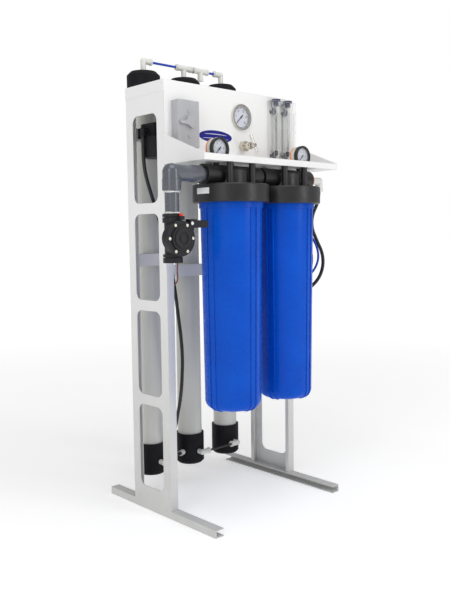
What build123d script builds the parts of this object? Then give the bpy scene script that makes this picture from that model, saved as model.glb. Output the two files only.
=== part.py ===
from build123d import *
import math
import os

os.makedirs("parts", exist_ok=True)

# A floor-standing reverse osmosis unit. Millimetres, +Z up, front towards -Y.
# The origin is on the floor, under the middle of the unit's bounding box.

# ---- Frame ----
frame_width = 465.0  # over the outer faces of the two sides
frame_depth = 156.0  # over the front and back flanges of a side
frame_height = 1100.0
left_x = -186.0  # outer face of the left side
front_y = -34.0  # front face of the side flanges
sheet = 2.0
side_flange = 22.5
side_lip = 12.0
window_width = 100.0
window_radius = 20.0
window_front_margin = 29.0
window_bottom = 63.0
window_top_margin = 76.0
window_bridge = 27.0
window_count = 4
foot_width = 26.0
foot_height = 20.0
foot_sheet = 2.5
foot_front = 168.5  # in front of the side
foot_back = 114.0  # behind the side
hood_skirt = 28.0
hood_skirt_sheet = 1.5

# ---- Shelf that the filters hang from ----
shelf_drop = 205.0  # underside of the shelf below the top of the frame
shelf_depth = 150.0
shelf_left_overhang = 4.0
shelf_right_overhang = 13.5
shelf_lip = 16.0
shelf_back_flange = 23.0
gusset_rise = 74.5
bolt_radius = 2.5
bolt_clearance = 0.25
bolt_head_radius = 4.6
bolt_head_height = 4.0

# ---- Filter housings ----
head_1_inset = 120.0  # first housing's axis from the outer left face
head_pitch = 192.2
head_forward = 107.4  # housing axes in front of the side flanges
ring_radius = 94.2
ring_height = 43.6
ring_drop = 95.0  # lower edge of the ring below the shelf
port_drop = 29.5  # port axis below the shelf
port_boss_radius = 25.0
port_boss_reach = 92.0
port_web_reach = 70.0
port_web_width = 24.0
port_passage = 10.0
clean_passage = 9.0  # down the middle, from the cartridge
dirty_passage = 8.0  # down into the sump, beside the middle
dirty_inset = 45.0
dirty_wall = 30.0
button_clearance = 0.5
gauge_thread = 6.5
gauge_hole_depth = 18.0
barrel_radius = 43.0
barrel_gap = 12.0  # top of the barrel below the shelf
head_deck = 11.6
column_radius = 8.0
column_offset = 37.5
sump_neck_radius = 79.0
sump_neck_length = 28.0
sump_clearance = 1.2
sump_top_radius = 76.0
sump_low_radius = 70.5
sump_floor_radius = 47.5
sump_edge_height = 27.0
sump_length = 510.5  # from the ring's lower edge to the sump's bottom
sump_collar_height = 13.0
sump_wall = 6.5
rib_pairs = 4
rib_width = 4.0
rib_proud = 2.2
rib_pair_angle = 14.0
rib_turn = [2.7, 12.6]  # of the first pair, on each sump
oring_radius = 74.0
oring_section = 2.4
oring_clearance = 0.35
cartridge_radius = 57.0
cartridge_bore = 15.5
cartridge_length = 508.0
cartridge_seat = 13.0
seat_clearance = 0.2
cartridge_seat_radius = 40.0
knob_radius = 14.0
knob_length = 20.0
bolt_hole_depth = 20.0
button_radius = 5.5
button_cap_radius = 7.5
button_travel = 3.0

# ---- Pipes ----
pipe_radius = 16.7
pipe_bore = 12.5
pipe_clearance = 0.15
pipe_insert = 20.0
elbow_radius = 22.0
elbow_reach = 41.5
elbow_run = 84.0  # of the arm towards the first housing
inlet_offset = 65.6  # inlet pipe's axis, outside the left face
valve_top_drop = 329.0  # below the top of the frame
valve_length = 112.0
valve_port_radius = 22.8
valve_union_length = 20.0
bonnet_radius = 41.0
bonnet_forward = 23.3
bonnet_thickness = 16.0
bonnet_screw_circle = 34.0
bonnet_screw_count = 6
coil_offset = 39.7  # coil block's middle, right of the inlet pipe's axis
coil_forward = 20.0  # in front of it
coil_rise = 34.0  # above the middle of the valve
coil_width = 20.0
coil_depth = 17.0
coil_height = 20.0
coil_reach = 35.5
coil_clearance = 0.25
lead_boss_radius = 3.5
lead_boss_length = 6.0
bleed_radius = 4.8
bleed_offset = 3.3
bleed_forward = 28.4
bleed_thread = 2.7
bleed_boss_width = 11.0

# ---- Gauges ----
filter_gauge_radius = 28.0
filter_gauge_outset = 53.0  # from the housing's axis, outwards
filter_gauge_shift = 5.5  # both gauges, to the right
filter_gauge_forward = 17.0  # bezel in front of the housing's axis
panel_gauge_radius = 34.0
panel_gauge_drop = 67.3
gauge_bezel_depth = 9.0
gauge_lip = 2.5
gauge_cavity = 6.0
gauge_stem = 7.0
filter_gauge_depth = 25.0
panel_gauge_proud = 6.0
panel_gauge_can = 24.0
panel_gauge_step = 3.2  # the can is this much smaller in radius than the bezel
lens_thickness = 1.5
gauge_fit = 0.2
lens_setback = 1.2
dial_thickness = 0.8
pivot_radius = 1.0
needle_thickness = 0.6
needle_height = 2.0  # needle's front above the cavity's floor

# ---- Instruments on the panel ----
meter_width = 40.0
meter_depth = 30.0
meter_height = 164.0
meter_gap = 7.0
meter_right_margin = 18.0
meter_top_drop = 14.0
meter_bore = 6.5
float_radius = 5.6
float_length = 14.0
meter_port_radius = 10.0
gauge_to_meters = 101.0  # panel gauge's axis, left of the meters
needle_valve_drop = 143.5
needle_valve_shift = 6.5
handle_length = 58.0
handle_radius = 3.0
switch_left = 22.3
switch_width = 69.0
switch_height = 114.0
switch_top_drop = 48.0
switch_cover_depth = 26.0
switch_box_depth = 50.0

# ---- Membrane housings ----
membrane_left_inset = 92.5
membrane_right_inset = 89.5
membrane_back = 46.0  # membrane axes behind the back flanges
membrane_bottom = 58.0
membrane_length = 1103.0
tube_radius = 35.0
tube_wall = 4.0
top_cap_radius = 44.9
top_cap_height = 92.0
top_cap_bevel = 10.0
bottom_cap_radius = 40.9
bottom_cap_height = 88.0
bottom_cap_bevel = 6.0
element_radius = 29.5
cap_clearance = 0.2
bar_height = 33.0
bar_sheet = 3.0
middle_bar_low = 608.0
middle_bar_high = 641.0
upper_bar_drop = 115.0
clamp_thickness = 2.5
clamp_height = 22.0

# ---- Tubing ----
tube_small = 3.175  # radius of quarter-inch tube
tube_large = 4.75  # radius of three-eighths tube
lead_radius = 1.75
fitting_radius = 7.8
fitting_reach = 27.0
branch_pitch = 62.0  # branch tee, right of the middle membrane housing
push_clearance = 0.15
push_depth = 12.0
permeate_rise = 30.0  # tube axis above the top caps
jumper_height = 95.0
bulkhead_height = 546.0
bulkhead_first = 60.0  # behind the front flange
bulkhead_second = 100.0

# ---- Places worked out from the sizes above ----
right_x = left_x + frame_width
middle_x = left_x + frame_width / 2
back_y = front_y + frame_depth
side_top = frame_height - sheet
shelf_z = frame_height - shelf_drop
shelf_top = shelf_z + sheet
panel_y = front_y - sheet
shelf_front_y = panel_y - shelf_depth
ring_z = shelf_z - ring_drop
deck_z = ring_z + ring_height
port_z = shelf_z - port_drop
head_y = front_y - head_forward
head_x = [left_x + head_1_inset + index * head_pitch for index in range(2)]
inlet_x = left_x - inlet_offset
valve_top = frame_height - valve_top_drop
valve_bottom = valve_top - valve_length
valve_z = valve_top - valve_length / 2
membrane_pitch = (frame_width - membrane_left_inset - membrane_right_inset) / 2
membrane_x = [left_x + membrane_left_inset + index * membrane_pitch for index in range(3)]
membrane_y = back_y + membrane_back
membrane_top = membrane_bottom + membrane_length
meter_x = [
    right_x - meter_right_margin - meter_width * 1.5 - meter_gap,
    right_x - meter_right_margin - meter_width / 2,
]
meter_top = frame_height - meter_top_drop
meter_bottom = meter_top - meter_height
meter_y = panel_y - meter_depth / 2
panel_gauge_x = meter_x[0] - meter_width / 2 - gauge_to_meters
panel_gauge_z = frame_height - panel_gauge_drop
needle_valve_x = panel_gauge_x + needle_valve_shift
needle_valve_z = frame_height - needle_valve_drop
switch_x = left_x + switch_left + switch_width / 2
switch_z = frame_height - switch_top_drop - switch_height / 2
filter_gauge_x = [
    head_x[0] - filter_gauge_outset + filter_gauge_shift,
    head_x[1] + filter_gauge_outset + filter_gauge_shift,
]
filter_gauge_z = shelf_top + 1.5 + filter_gauge_radius


def across(distance):
    """X of a point this far right of the outer left face."""
    return left_x + distance


def behind(distance):
    """Y of a point this far behind the front flanges."""
    return front_y + distance


def point(right, back, up):
    """A point measured from the front bottom left corner of the frame."""
    return (across(right), behind(back), up)


def facing(x, y, z):
    """A plane that faces backwards, so that extruding goes from front to back."""
    return Plane(origin=(x, y, z), x_dir=(1, 0, 0), z_dir=(0, 1, 0))


def sideways(x, y, z, direction=1):
    """A plane whose normal is along X."""
    return Plane(origin=(x, y, z), x_dir=(0, 1, 0), z_dir=(direction, 0, 0))


def save(part, name):
    part.label = name
    export_step(part, "parts/" + name + ".step")


def start_at(length):
    """Alignment that makes a solid start on its plane, whichever way it runs."""
    return (Align.CENTER, Align.CENTER, Align.MIN if length > 0 else Align.MAX)


def disc(plane, radius, length, mode=Mode.ADD):
    """A cylinder that starts on the plane and runs along its normal."""
    with Locations(plane):
        Cylinder(radius, abs(length), align=start_at(length), mode=mode)


def block(plane, width, height, length, mode=Mode.ADD):
    """A rectangular bar that starts on the plane and runs along its normal."""
    with Locations(plane):
        Box(width, height, abs(length), align=start_at(length), mode=mode)


def upright(x, y, z):
    """A plane whose normal is +Z."""
    return Plane(origin=(x, y, z), x_dir=(1, 0, 0), z_dir=(0, 0, 1))


# ---- Side frames: lipped channels with windows ----
def side_frame(outer_x, inward):
    def corner(inside, back):
        return (outer_x + inward * inside, front_y + back)

    windows_height = frame_height - window_bottom - window_top_margin
    window_height = (windows_height - (window_count - 1) * window_bridge) / window_count
    window_y = front_y + window_front_margin + window_width / 2
    with BuildPart() as side:
        with BuildSketch(Plane.XY.offset(foot_height)):
            with BuildLine():
                Polyline(
                    corner(0, 0),
                    corner(side_flange, 0),
                    corner(side_flange, side_lip),
                    corner(side_flange - sheet, side_lip),
                    corner(side_flange - sheet, sheet),
                    corner(sheet, sheet),
                    corner(sheet, frame_depth - sheet),
                    corner(side_flange - sheet, frame_depth - sheet),
                    corner(side_flange - sheet, frame_depth - side_lip),
                    corner(side_flange, frame_depth - side_lip),
                    corner(side_flange, frame_depth),
                    corner(0, frame_depth),
                    close=True,
                )
            make_face()
        extrude(amount=side_top - foot_height)
        with BuildSketch(Plane.YZ.offset(outer_x)):
            for index in range(window_count):
                window_z = window_bottom + window_height / 2
                window_z += index * (window_height + window_bridge)
                with Locations((window_y, window_z)):
                    RectangleRounded(window_width, window_height, window_radius)
        extrude(amount=1.5 * sheet, both=True, mode=Mode.SUBTRACT)
        if inward < 0:
            for back in (bulkhead_first, bulkhead_second):
                disc(
                    sideways(outer_x - 2 * sheet, behind(back), bulkhead_height),
                    fitting_radius + bolt_clearance,
                    4 * sheet,
                    Mode.SUBTRACT,
                )
    return side.part


save(side_frame(left_x, 1), "frame_side_left")
save(side_frame(right_x, -1), "frame_side_right")


# ---- Feet: open channels on the floor ----
def foot(outer_x, inward):
    with BuildPart() as channel:
        with BuildSketch(Plane.XZ.offset(-(back_y + foot_back))):
            with BuildLine():
                Polyline(
                    (outer_x, 0),
                    (outer_x + inward * foot_width, 0),
                    (outer_x + inward * foot_width, foot_sheet),
                    (outer_x + inward * foot_sheet, foot_sheet),
                    (outer_x + inward * foot_sheet, foot_height - foot_sheet),
                    (outer_x + inward * foot_width, foot_height - foot_sheet),
                    (outer_x + inward * foot_width, foot_height),
                    (outer_x, foot_height),
                    close=True,
                )
            make_face()
        extrude(amount=foot_front + frame_depth + foot_back)
    return channel.part


save(foot(left_x, 1), "foot_left")
save(foot(right_x, -1), "foot_right")

# ---- Control panel: a folded hood with a front, a top and two short skirts ----
meter_port_z = [meter_bottom + 18.0, meter_top - 26.0]
with BuildPart() as control_panel:
    block(
        facing(middle_x, panel_y, (shelf_z + frame_height) / 2),
        frame_width,
        frame_height - shelf_z,
        sheet,
    )
    block(
        upright(middle_x, (panel_y + back_y) / 2, side_top),
        frame_width,
        back_y - panel_y,
        sheet,
    )
    for skirt_x in (left_x - hood_skirt_sheet, right_x):
        block(
            sideways(skirt_x, (panel_y + back_y) / 2, frame_height - hood_skirt / 2),
            back_y - panel_y,
            hood_skirt,
            hood_skirt_sheet,
        )
    disc(
        facing(panel_gauge_x, panel_y - 1, panel_gauge_z),
        panel_gauge_radius - 3.0,
        2 * sheet,
        Mode.SUBTRACT,
    )
    disc(facing(needle_valve_x, panel_y - 1, needle_valve_z), 8.5, 2 * sheet, Mode.SUBTRACT)
    block(
        facing(switch_x, panel_y - 1, switch_z),
        switch_width - 12.0,
        switch_height - 12.0,
        2 * sheet,
        Mode.SUBTRACT,
    )
    for x in meter_x:
        for z in meter_port_z:
            disc(
                facing(x, panel_y - 1, z),
                meter_port_radius + bolt_clearance,
                2 * sheet,
                Mode.SUBTRACT,
            )
save(control_panel.part, "control_panel")

# ---- Shelf: plate, front lip, back flange and a gusset at each end ----
shelf_x0 = left_x - shelf_left_overhang
shelf_x1 = right_x + shelf_right_overhang
lip_y = shelf_front_y
column_places = [
    (x + side_x * column_offset, head_y + side_y * column_offset)
    for x in head_x
    for side_x in (-1, 1)
    for side_y in (-1, 1)
]
with BuildPart() as filter_shelf:
    with BuildSketch(Plane.YZ.offset(shelf_x0)):
        with BuildLine():
            Polyline(
                (lip_y, shelf_z),
                (panel_y, shelf_z),
                (panel_y, shelf_z + shelf_back_flange),
                (panel_y - sheet, shelf_z + shelf_back_flange),
                (panel_y - sheet, shelf_top),
                (lip_y + sheet, shelf_top),
                (lip_y + sheet, shelf_z + shelf_lip),
                (lip_y, shelf_z + shelf_lip),
                close=True,
            )
        make_face()
    extrude(amount=shelf_x1 - shelf_x0)
    for gusset_x in (shelf_x0, shelf_x1 - sheet):
        with BuildSketch(Plane.YZ.offset(gusset_x)):
            with BuildLine():
                Polyline(
                    (lip_y, shelf_z),
                    (panel_y, shelf_z),
                    (panel_y, shelf_z + gusset_rise),
                    (lip_y, shelf_z + shelf_lip),
                    close=True,
                )
            make_face()
        extrude(amount=sheet)
    with BuildSketch(Plane.XY.offset(shelf_z - 1)):
        with Locations(*column_places):
            Circle(bolt_radius + bolt_clearance)
        with Locations(*[(x, head_y) for x in head_x]):
            Circle(button_cap_radius + 2.5)
        with Locations(*[(x, head_y) for x in filter_gauge_x]):
            Circle(10.0)
    extrude(amount=2 * sheet, mode=Mode.SUBTRACT)
save(filter_shelf.part, "filter_shelf")

# ---- Crossbars that the membrane housings are strapped to ----
bar_y = back_y - bar_sheet
inner_left = left_x + side_flange
inner_right = right_x - side_flange
step_start = across(112.0)
step_end = across(148.0)
upper_bar_z = frame_height - upper_bar_drop
with BuildPart() as crossbars:
    with BuildSketch(Plane.XZ.offset(-back_y)):
        with BuildLine():
            Polyline(
                (inner_left, middle_bar_high),
                (step_start, middle_bar_high),
                (step_end, middle_bar_low),
                (inner_right, middle_bar_low),
                (inner_right, middle_bar_low + bar_height),
                (step_end, middle_bar_low + bar_height),
                (step_start, middle_bar_high + bar_height),
                (inner_left, middle_bar_high + bar_height),
                close=True,
            )
        make_face()
        with Locations((middle_x, upper_bar_z)):
            Rectangle(inner_right - inner_left, bar_height)
    extrude(amount=bar_sheet)
save(crossbars.part, "crossbars")

# ---- Hexagon bolts: through the shelf into the heads, and shelf to panel ----
flange_bolt_x = [left_x + 12.0, right_x - 12.0]
with BuildPart() as frame_bolts:
    for x, y in column_places:
        with BuildSketch(Plane.XY.offset(shelf_top)):
            with Locations((x, y)):
                RegularPolygon(bolt_head_radius, 6)
        extrude(amount=bolt_head_height)
        with BuildSketch(Plane.XY.offset(shelf_top)):
            with Locations((x, y)):
                Circle(bolt_radius)
        extrude(amount=-16.0)
    for x in flange_bolt_x:
        with BuildSketch(facing(x, panel_y - sheet, shelf_z + 14.0)):
            RegularPolygon(bolt_head_radius, 6)
        extrude(amount=-bolt_head_height)
save(frame_bolts.part, "frame_bolts")


# ---- Membrane housings: tube, glued caps and the rolled element inside ----
cap_socket = 44.0
cap_chamber = 18.0
cap_chamber_radius = 28.0
tube_z0 = membrane_bottom + bottom_cap_height - cap_socket
tube_z1 = membrane_top - top_cap_height + cap_socket


def membrane_tube(x):
    with BuildPart() as tube:
        with BuildSketch(Plane.XY.offset(tube_z0)):
            with Locations((x, membrane_y)):
                Circle(tube_radius)
                Circle(tube_radius - tube_wall, mode=Mode.SUBTRACT)
        extrude(amount=tube_z1 - tube_z0)
    return tube.part


for number, x in enumerate(membrane_x, 1):
    save(membrane_tube(x), "membrane_tube_" + str(number))


port_thread = 5.0


def membrane_cap(x, end_z, inward, radius, height, bevel):
    """A round cap: end_z is its flat outer end, inward points along the tube."""
    with BuildPart() as cap:
        disc(upright(x, membrane_y, end_z), radius, inward * height)
        rims = cap.edges().filter_by(GeomType.CIRCLE)
        chamfer(rims.sort_by_distance((x, membrane_y, end_z))[0], bevel)
        disc(
            upright(x, membrane_y, end_z + inward * height),
            tube_radius + cap_clearance,
            -inward * cap_socket,
            Mode.SUBTRACT,
        )
        disc(
            upright(x, membrane_y, end_z + inward * (height - cap_socket)),
            cap_chamber_radius,
            -inward * cap_chamber,
            Mode.SUBTRACT,
        )
    return cap.part


port_y = membrane_y - bottom_cap_radius
feed_angle = math.radians(200.0)
top_pieces = [
    membrane_cap(x, membrane_top, -1, top_cap_radius, top_cap_height, top_cap_bevel)
    for x in membrane_x
]
bottom_pieces = [
    membrane_cap(x, membrane_bottom, 1, bottom_cap_radius, bottom_cap_height, bottom_cap_bevel)
    for x in membrane_x
]
with BuildPart() as top_caps:
    for x, piece in zip(membrane_x, top_pieces):
        add(piece)
        disc(upright(x, membrane_y, membrane_top), port_thread, -40.0, Mode.SUBTRACT)
save(top_caps.part, "membrane_top_caps")

with BuildPart() as bottom_caps:
    for x, piece in zip(membrane_x, bottom_pieces):
        add(piece)
        disc(facing(x, port_y - 5.0, jumper_height), port_thread, 30.0, Mode.SUBTRACT)
    feed_port = Plane(
        origin=(membrane_x[1], membrane_y, jumper_height),
        z_dir=(math.cos(feed_angle), math.sin(feed_angle), 0),
    )
    disc(feed_port.offset(20.0), port_thread, 30.0, Mode.SUBTRACT)
save(bottom_caps.part, "membrane_bottom_caps")

core_radius = 9.0
element_z0 = tube_z0 + 14.0
element_z1 = tube_z1 - 14.0
with BuildPart() as elements:
    for x in membrane_x:
        disc(upright(x, membrane_y, element_z0), element_radius, element_z1 - element_z0)
        disc(upright(x, membrane_y, element_z0 - 8.0), core_radius, element_z1 - element_z0 + 16.0)
        disc(
            upright(x, membrane_y, element_z0 - 8.0),
            core_radius - 3.0,
            element_z1 - element_z0 + 16.0,
            Mode.SUBTRACT,
        )
save(elements.part, "membrane_elements")

# ---- Saddle straps that hold the tubes against the crossbars ----
strap_heights = [
    (middle_bar_high, middle_bar_low, middle_bar_low),
    (upper_bar_z - bar_height / 2,) * 3,
]
strap_inner = tube_radius + cap_clearance
strap_reach = membrane_y - back_y
with BuildPart() as clamps:
    for row in strap_heights:
        for x, bar_low in zip(membrane_x, row):
            strap_z = bar_low + (bar_height - clamp_height) / 2
            disc(upright(x, membrane_y, strap_z), strap_inner + clamp_thickness, clamp_height)
            for side_x in (-1, 1):
                block(
                    upright(
                        x + side_x * (strap_inner + clamp_thickness / 2),
                        membrane_y - strap_reach / 2,
                        strap_z,
                    ),
                    clamp_thickness,
                    strap_reach,
                    clamp_height,
                )
                block(
                    upright(
                        x + side_x * (strap_inner + clamp_thickness + 6.0),
                        back_y + clamp_thickness / 2,
                        strap_z,
                    ),
                    14.0,
                    clamp_thickness,
                    clamp_height,
                )
            disc(upright(x, membrane_y, strap_z), strap_inner, clamp_height, Mode.SUBTRACT)
            block(
                upright(x, membrane_y - strap_reach / 2, strap_z),
                2 * strap_inner,
                strap_reach,
                clamp_height,
                Mode.SUBTRACT,
            )
save(clamps.part, "membrane_clamps")


# ---- Push-fit tube fittings ----
def fitting_arm(origin, direction, reach=fitting_reach, radius=fitting_radius):
    """A round arm with a tube socket at its end, from the fitting's middle outwards."""
    plane = Plane(origin=origin, z_dir=direction)
    disc(plane, radius, reach)
    disc(plane.offset(reach - 5.0), radius + 0.9, 5.0)


def fitting_bore(origin, direction, reach=fitting_reach, tube=tube_small):
    """The socket at the end of an arm, and the passage to the fitting's middle."""
    plane = Plane(origin=origin, z_dir=direction)
    disc(plane.offset(reach), tube + push_clearance, -push_depth, Mode.SUBTRACT)
    disc(plane, tube - 1.0, reach, Mode.SUBTRACT)


def push_fitting(origin, stem, stem_reach, arms, tube=tube_small, radius=fitting_radius):
    """A fitting whose threaded stem runs from its middle, with tube arms beside it."""
    with BuildPart() as fitting:
        with Locations(origin):
            Sphere(radius)
        stem_plane = Plane(origin=origin, z_dir=stem)
        disc(stem_plane, radius - 0.6, stem_reach)
        disc(stem_plane.offset(stem_reach), port_thread - bolt_clearance, 9.0)
        for arm in arms:
            fitting_arm(origin, arm, radius=radius)
        disc(stem_plane, 2.2, stem_reach + 9.0, Mode.SUBTRACT)
        for arm in arms:
            fitting_bore(origin, arm, tube=tube)
    return fitting.part


top_line_z = membrane_top + permeate_rise
left_end, middle_end, right_end = [(x, membrane_y, top_line_z) for x in membrane_x]
down = (0, 0, -1)
rightwards = (1, 0, 0)
leftwards = (-1, 0, 0)
backwards = (0, 1, 0)
branch_x = membrane_x[1] + branch_pitch
branch = (branch_x, membrane_y, top_line_z)
port_reach = 14.0
jumper_line_y = port_y - port_reach
ports = [(x, jumper_line_y, jumper_height) for x in membrane_x]
fittings = [
    push_fitting(left_end, down, permeate_rise, [rightwards]),
    push_fitting(middle_end, down, permeate_rise, [leftwards, rightwards]),
    push_fitting(right_end, down, permeate_rise, [leftwards]),
    push_fitting(ports[0], backwards, port_reach, [rightwards]),
    push_fitting(ports[1], backwards, port_reach, [rightwards]),
    push_fitting(ports[2], backwards, port_reach, [leftwards]),
]
with BuildPart() as branch_tee:
    with Locations(branch):
        Sphere(fitting_radius)
    for arm in (leftwards, rightwards, down):
        fitting_arm(branch, arm)
    for arm in (leftwards, rightwards, down):
        fitting_bore(branch, arm)
fittings.append(branch_tee.part)
bulkhead_length = 34.0
for back in (bulkhead_first, bulkhead_second):
    start = (right_x - 20.0, behind(back), bulkhead_height)
    with BuildPart() as bulkhead:
        disc(Plane(origin=start, z_dir=rightwards), fitting_radius, bulkhead_length)
        with BuildSketch(Plane.YZ.offset(right_x - sheet)):
            with Locations((behind(back), bulkhead_height)):
                RegularPolygon(fitting_radius + 3.5, 6)
        extrude(amount=-6.0)
        with BuildSketch(Plane.YZ.offset(right_x)):
            with Locations((behind(back), bulkhead_height)):
                RegularPolygon(fitting_radius + 3.5, 6)
        extrude(amount=6.0)
        bore = tube_small + push_clearance
        disc(Plane(origin=start, z_dir=rightwards), bore, push_depth, Mode.SUBTRACT)
        outlet = Plane(origin=start, z_dir=rightwards).offset(bulkhead_length)
        disc(outlet, bore, -push_depth, Mode.SUBTRACT)
        disc(Plane(origin=start, z_dir=rightwards), 2.2, bulkhead_length, Mode.SUBTRACT)
    fittings.append(bulkhead.part)
feed_direction = Vector(math.cos(feed_angle), math.sin(feed_angle), 0)
feed_cap = Vector(membrane_x[1], membrane_y, jumper_height)
with BuildPart() as feed_connector:
    connector_start = feed_cap + feed_direction * (bottom_cap_radius - 5.0)
    connector_plane = Plane(origin=connector_start, z_dir=feed_direction)
    disc(connector_plane, port_thread - bolt_clearance, 8.0)
    disc(connector_plane.offset(5.5), 8.0, 15.0)
    disc(connector_plane.offset(20.5), tube_large + push_clearance, -12.0, Mode.SUBTRACT)
    disc(connector_plane, 2.2, 20.5, Mode.SUBTRACT)
fittings.append(feed_connector.part)
with BuildPart() as push_fit_fittings:
    for piece in fittings:
        add(piece)
save(push_fit_fittings.part, "push_fit_fittings")


def tube_between(start_x, end_x, y, z, radius=tube_small):
    """A straight tube that ends inside the two sockets that it joins."""
    inset = fitting_reach - push_depth + 1.0
    disc(sideways(start_x + inset, y, z), radius, end_x - start_x - 2 * inset)


with BuildPart() as permeate_tubes:
    tube_between(membrane_x[0], membrane_x[1], membrane_y, top_line_z)
    tube_between(membrane_x[1], branch_x, membrane_y, top_line_z)
    tube_between(branch_x, membrane_x[2], membrane_y, top_line_z)
save(permeate_tubes.part, "permeate_tubes")
with BuildPart() as feed_jumper:
    tube_between(membrane_x[1], membrane_x[2], jumper_line_y, jumper_height)
save(feed_jumper.part, "feed_jumper")

# ---- Filter housings ----
column_grid = [(side_x, side_y) for side_x in (-1, 1) for side_y in (-1, 1)]
barrel_top = shelf_z - barrel_gap
boss_top = port_z + port_boss_radius


def filter_head(x, gauge_outset):
    def axis_at(z):
        return upright(x, head_y, z)

    with BuildPart() as head:
        disc(axis_at(ring_z), ring_radius, ring_height)
        chamfer(head.edges().group_by(Axis.Z)[-1], 2.5)
        chamfer(head.edges().group_by(Axis.Z)[0], 1.5)
        disc(axis_at(deck_z), barrel_radius, barrel_top - deck_z)
        chamfer(head.edges().group_by(Axis.Z)[-1], 6.0)
        disc(sideways(x - port_boss_reach, head_y, port_z), port_boss_radius, 2 * port_boss_reach)
        block(axis_at(deck_z), 2 * port_web_reach, port_web_width, port_z - deck_z)
        for side_x, side_y in column_grid:
            column_x = x + side_x * column_offset
            column_y = head_y + side_y * column_offset
            disc(upright(column_x, column_y, deck_z - 2), column_radius, shelf_z - deck_z + 2)
        disc(
            axis_at(ring_z - 1),
            sump_neck_radius + sump_clearance,
            ring_height - head_deck + 1,
            Mode.SUBTRACT,
        )
        disc(axis_at(deck_z - head_deck), knob_radius, -knob_length)
        for side_x, side_y in column_grid:
            column_x = x + side_x * column_offset
            column_y = head_y + side_y * column_offset
            disc(
                upright(column_x, column_y, shelf_z),
                bolt_radius + bolt_clearance,
                -bolt_hole_depth,
                Mode.SUBTRACT,
            )
        for side in (-1, 1):
            end = sideways(x + side * port_boss_reach, head_y, port_z)
            disc(end, pipe_radius + pipe_clearance, -side * (pipe_insert + 2), Mode.SUBTRACT)
        disc(
            sideways(x - port_boss_reach, head_y, port_z),
            port_passage,
            port_boss_reach - dirty_wall,
            Mode.SUBTRACT,
        )
        disc(sideways(x, head_y, port_z), port_passage, port_boss_reach, Mode.SUBTRACT)
        disc(axis_at(port_z), clean_passage, ring_z - port_z, Mode.SUBTRACT)
        disc(upright(x - dirty_inset, head_y, port_z), dirty_passage, ring_z - port_z, Mode.SUBTRACT)
        disc(
            axis_at(boss_top),
            button_radius + button_clearance,
            port_z - boss_top,
            Mode.SUBTRACT,
        )
        disc(
            upright(x + gauge_outset, head_y, shelf_z),
            gauge_thread + gauge_fit,
            -gauge_hole_depth,
            Mode.SUBTRACT,
        )
    return head.part


sump_bottom = ring_z - sump_length
collar_z = ring_z - sump_collar_height


def sump_envelope(x, grow):
    """The sump's outside, from its rounded bottom edge up to the collar."""
    with BuildPart() as envelope:
        with BuildSketch(Plane.XZ.offset(-head_y)):
            with BuildLine():
                bottom = sump_bottom - grow
                edge_top = sump_bottom + sump_edge_height
                Line((x, bottom), (x + sump_floor_radius, bottom))
                corner = (x + sump_low_radius + grow, edge_top)
                TangentArc((x + sump_floor_radius, bottom), corner, tangent=(1, 0))
                Line(corner, (x + sump_top_radius + grow, collar_z))
                Line((x + sump_top_radius + grow, collar_z), (x, collar_z))
                Line((x, collar_z), (x, bottom))
            make_face()
        revolve(axis=Axis((x, head_y, 0), (0, 0, 1)))
    return envelope.part


def filter_sump(x, first_rib):
    rib_angles = [
        index * 360 / rib_pairs + offset + first_rib
        for index in range(rib_pairs)
        for offset in (-rib_pair_angle / 2, rib_pair_angle / 2)
    ]
    plain_sump = sump_envelope(x, 0)
    grown_sump = sump_envelope(x, rib_proud)
    with BuildPart() as ribs:
        add(grown_sump)
        with BuildSketch(Plane.XY.offset(sump_bottom - 5)):
            for angle in rib_angles:
                turn = math.radians(angle)
                middle = sump_top_radius * 0.78
                with Locations((x + middle * math.cos(turn), head_y + middle * math.sin(turn))):
                    Rectangle(sump_top_radius * 0.5, rib_width, rotation=angle)
        extrude(amount=collar_z - sump_bottom + 5, mode=Mode.INTERSECT)
    inner_low = sump_low_radius - sump_wall
    inner_top = sump_neck_radius - 2 * oring_section - 5.0
    with BuildPart() as sump:
        add(plain_sump)
        add(ribs.part)
        disc(upright(x, head_y, collar_z), sump_neck_radius, sump_collar_height + sump_neck_length)
        with BuildSketch(Plane.XZ.offset(-head_y)):
            with BuildLine():
                Polyline(
                    (x, sump_bottom + sump_wall),
                    (x + sump_floor_radius, sump_bottom + sump_wall),
                    (x + inner_low, sump_bottom + sump_edge_height),
                    (x + inner_top, collar_z),
                    (x + inner_top, ring_z + sump_neck_length + 1),
                    (x, ring_z + sump_neck_length + 1),
                    close=True,
                )
            make_face()
        revolve(axis=Axis((x, head_y, 0), (0, 0, 1)), mode=Mode.SUBTRACT)
        disc(
            upright(x, head_y, sump_bottom + sump_wall),
            cartridge_seat_radius,
            cartridge_seat - seat_clearance,
        )
        with Locations((x, head_y, ring_z + sump_neck_length)):
            Torus(oring_radius, oring_section + oring_clearance, mode=Mode.SUBTRACT)
    return sump.part


def sump_oring(x):
    with BuildPart() as oring:
        with Locations((x, head_y, ring_z + sump_neck_length)):
            Torus(oring_radius, oring_section)
    return oring.part


cartridge_z = sump_bottom + sump_wall + cartridge_seat


def filter_cartridge(x):
    with BuildPart() as cartridge:
        disc(upright(x, head_y, cartridge_z), cartridge_radius, cartridge_length)
        disc(upright(x, head_y, cartridge_z), cartridge_bore, cartridge_length, Mode.SUBTRACT)
    return cartridge.part


def relief_button(x):
    with BuildPart() as button:
        disc(upright(x, head_y, boss_top - 8.0), button_radius, 8.0 + button_travel + 1.0)
        disc(upright(x, head_y, boss_top + button_travel + 1.0), button_cap_radius, 4.0)
    return button.part


for number, x in enumerate(head_x, 1):
    save(filter_head(x, filter_gauge_x[number - 1] - x), "filter_head_" + str(number))
    save(filter_sump(x, rib_turn[number - 1]), "filter_sump_" + str(number))
    save(sump_oring(x), "sump_oring_" + str(number))
    save(filter_cartridge(x), "filter_cartridge_" + str(number))
    save(relief_button(x), "relief_button_" + str(number))

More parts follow.
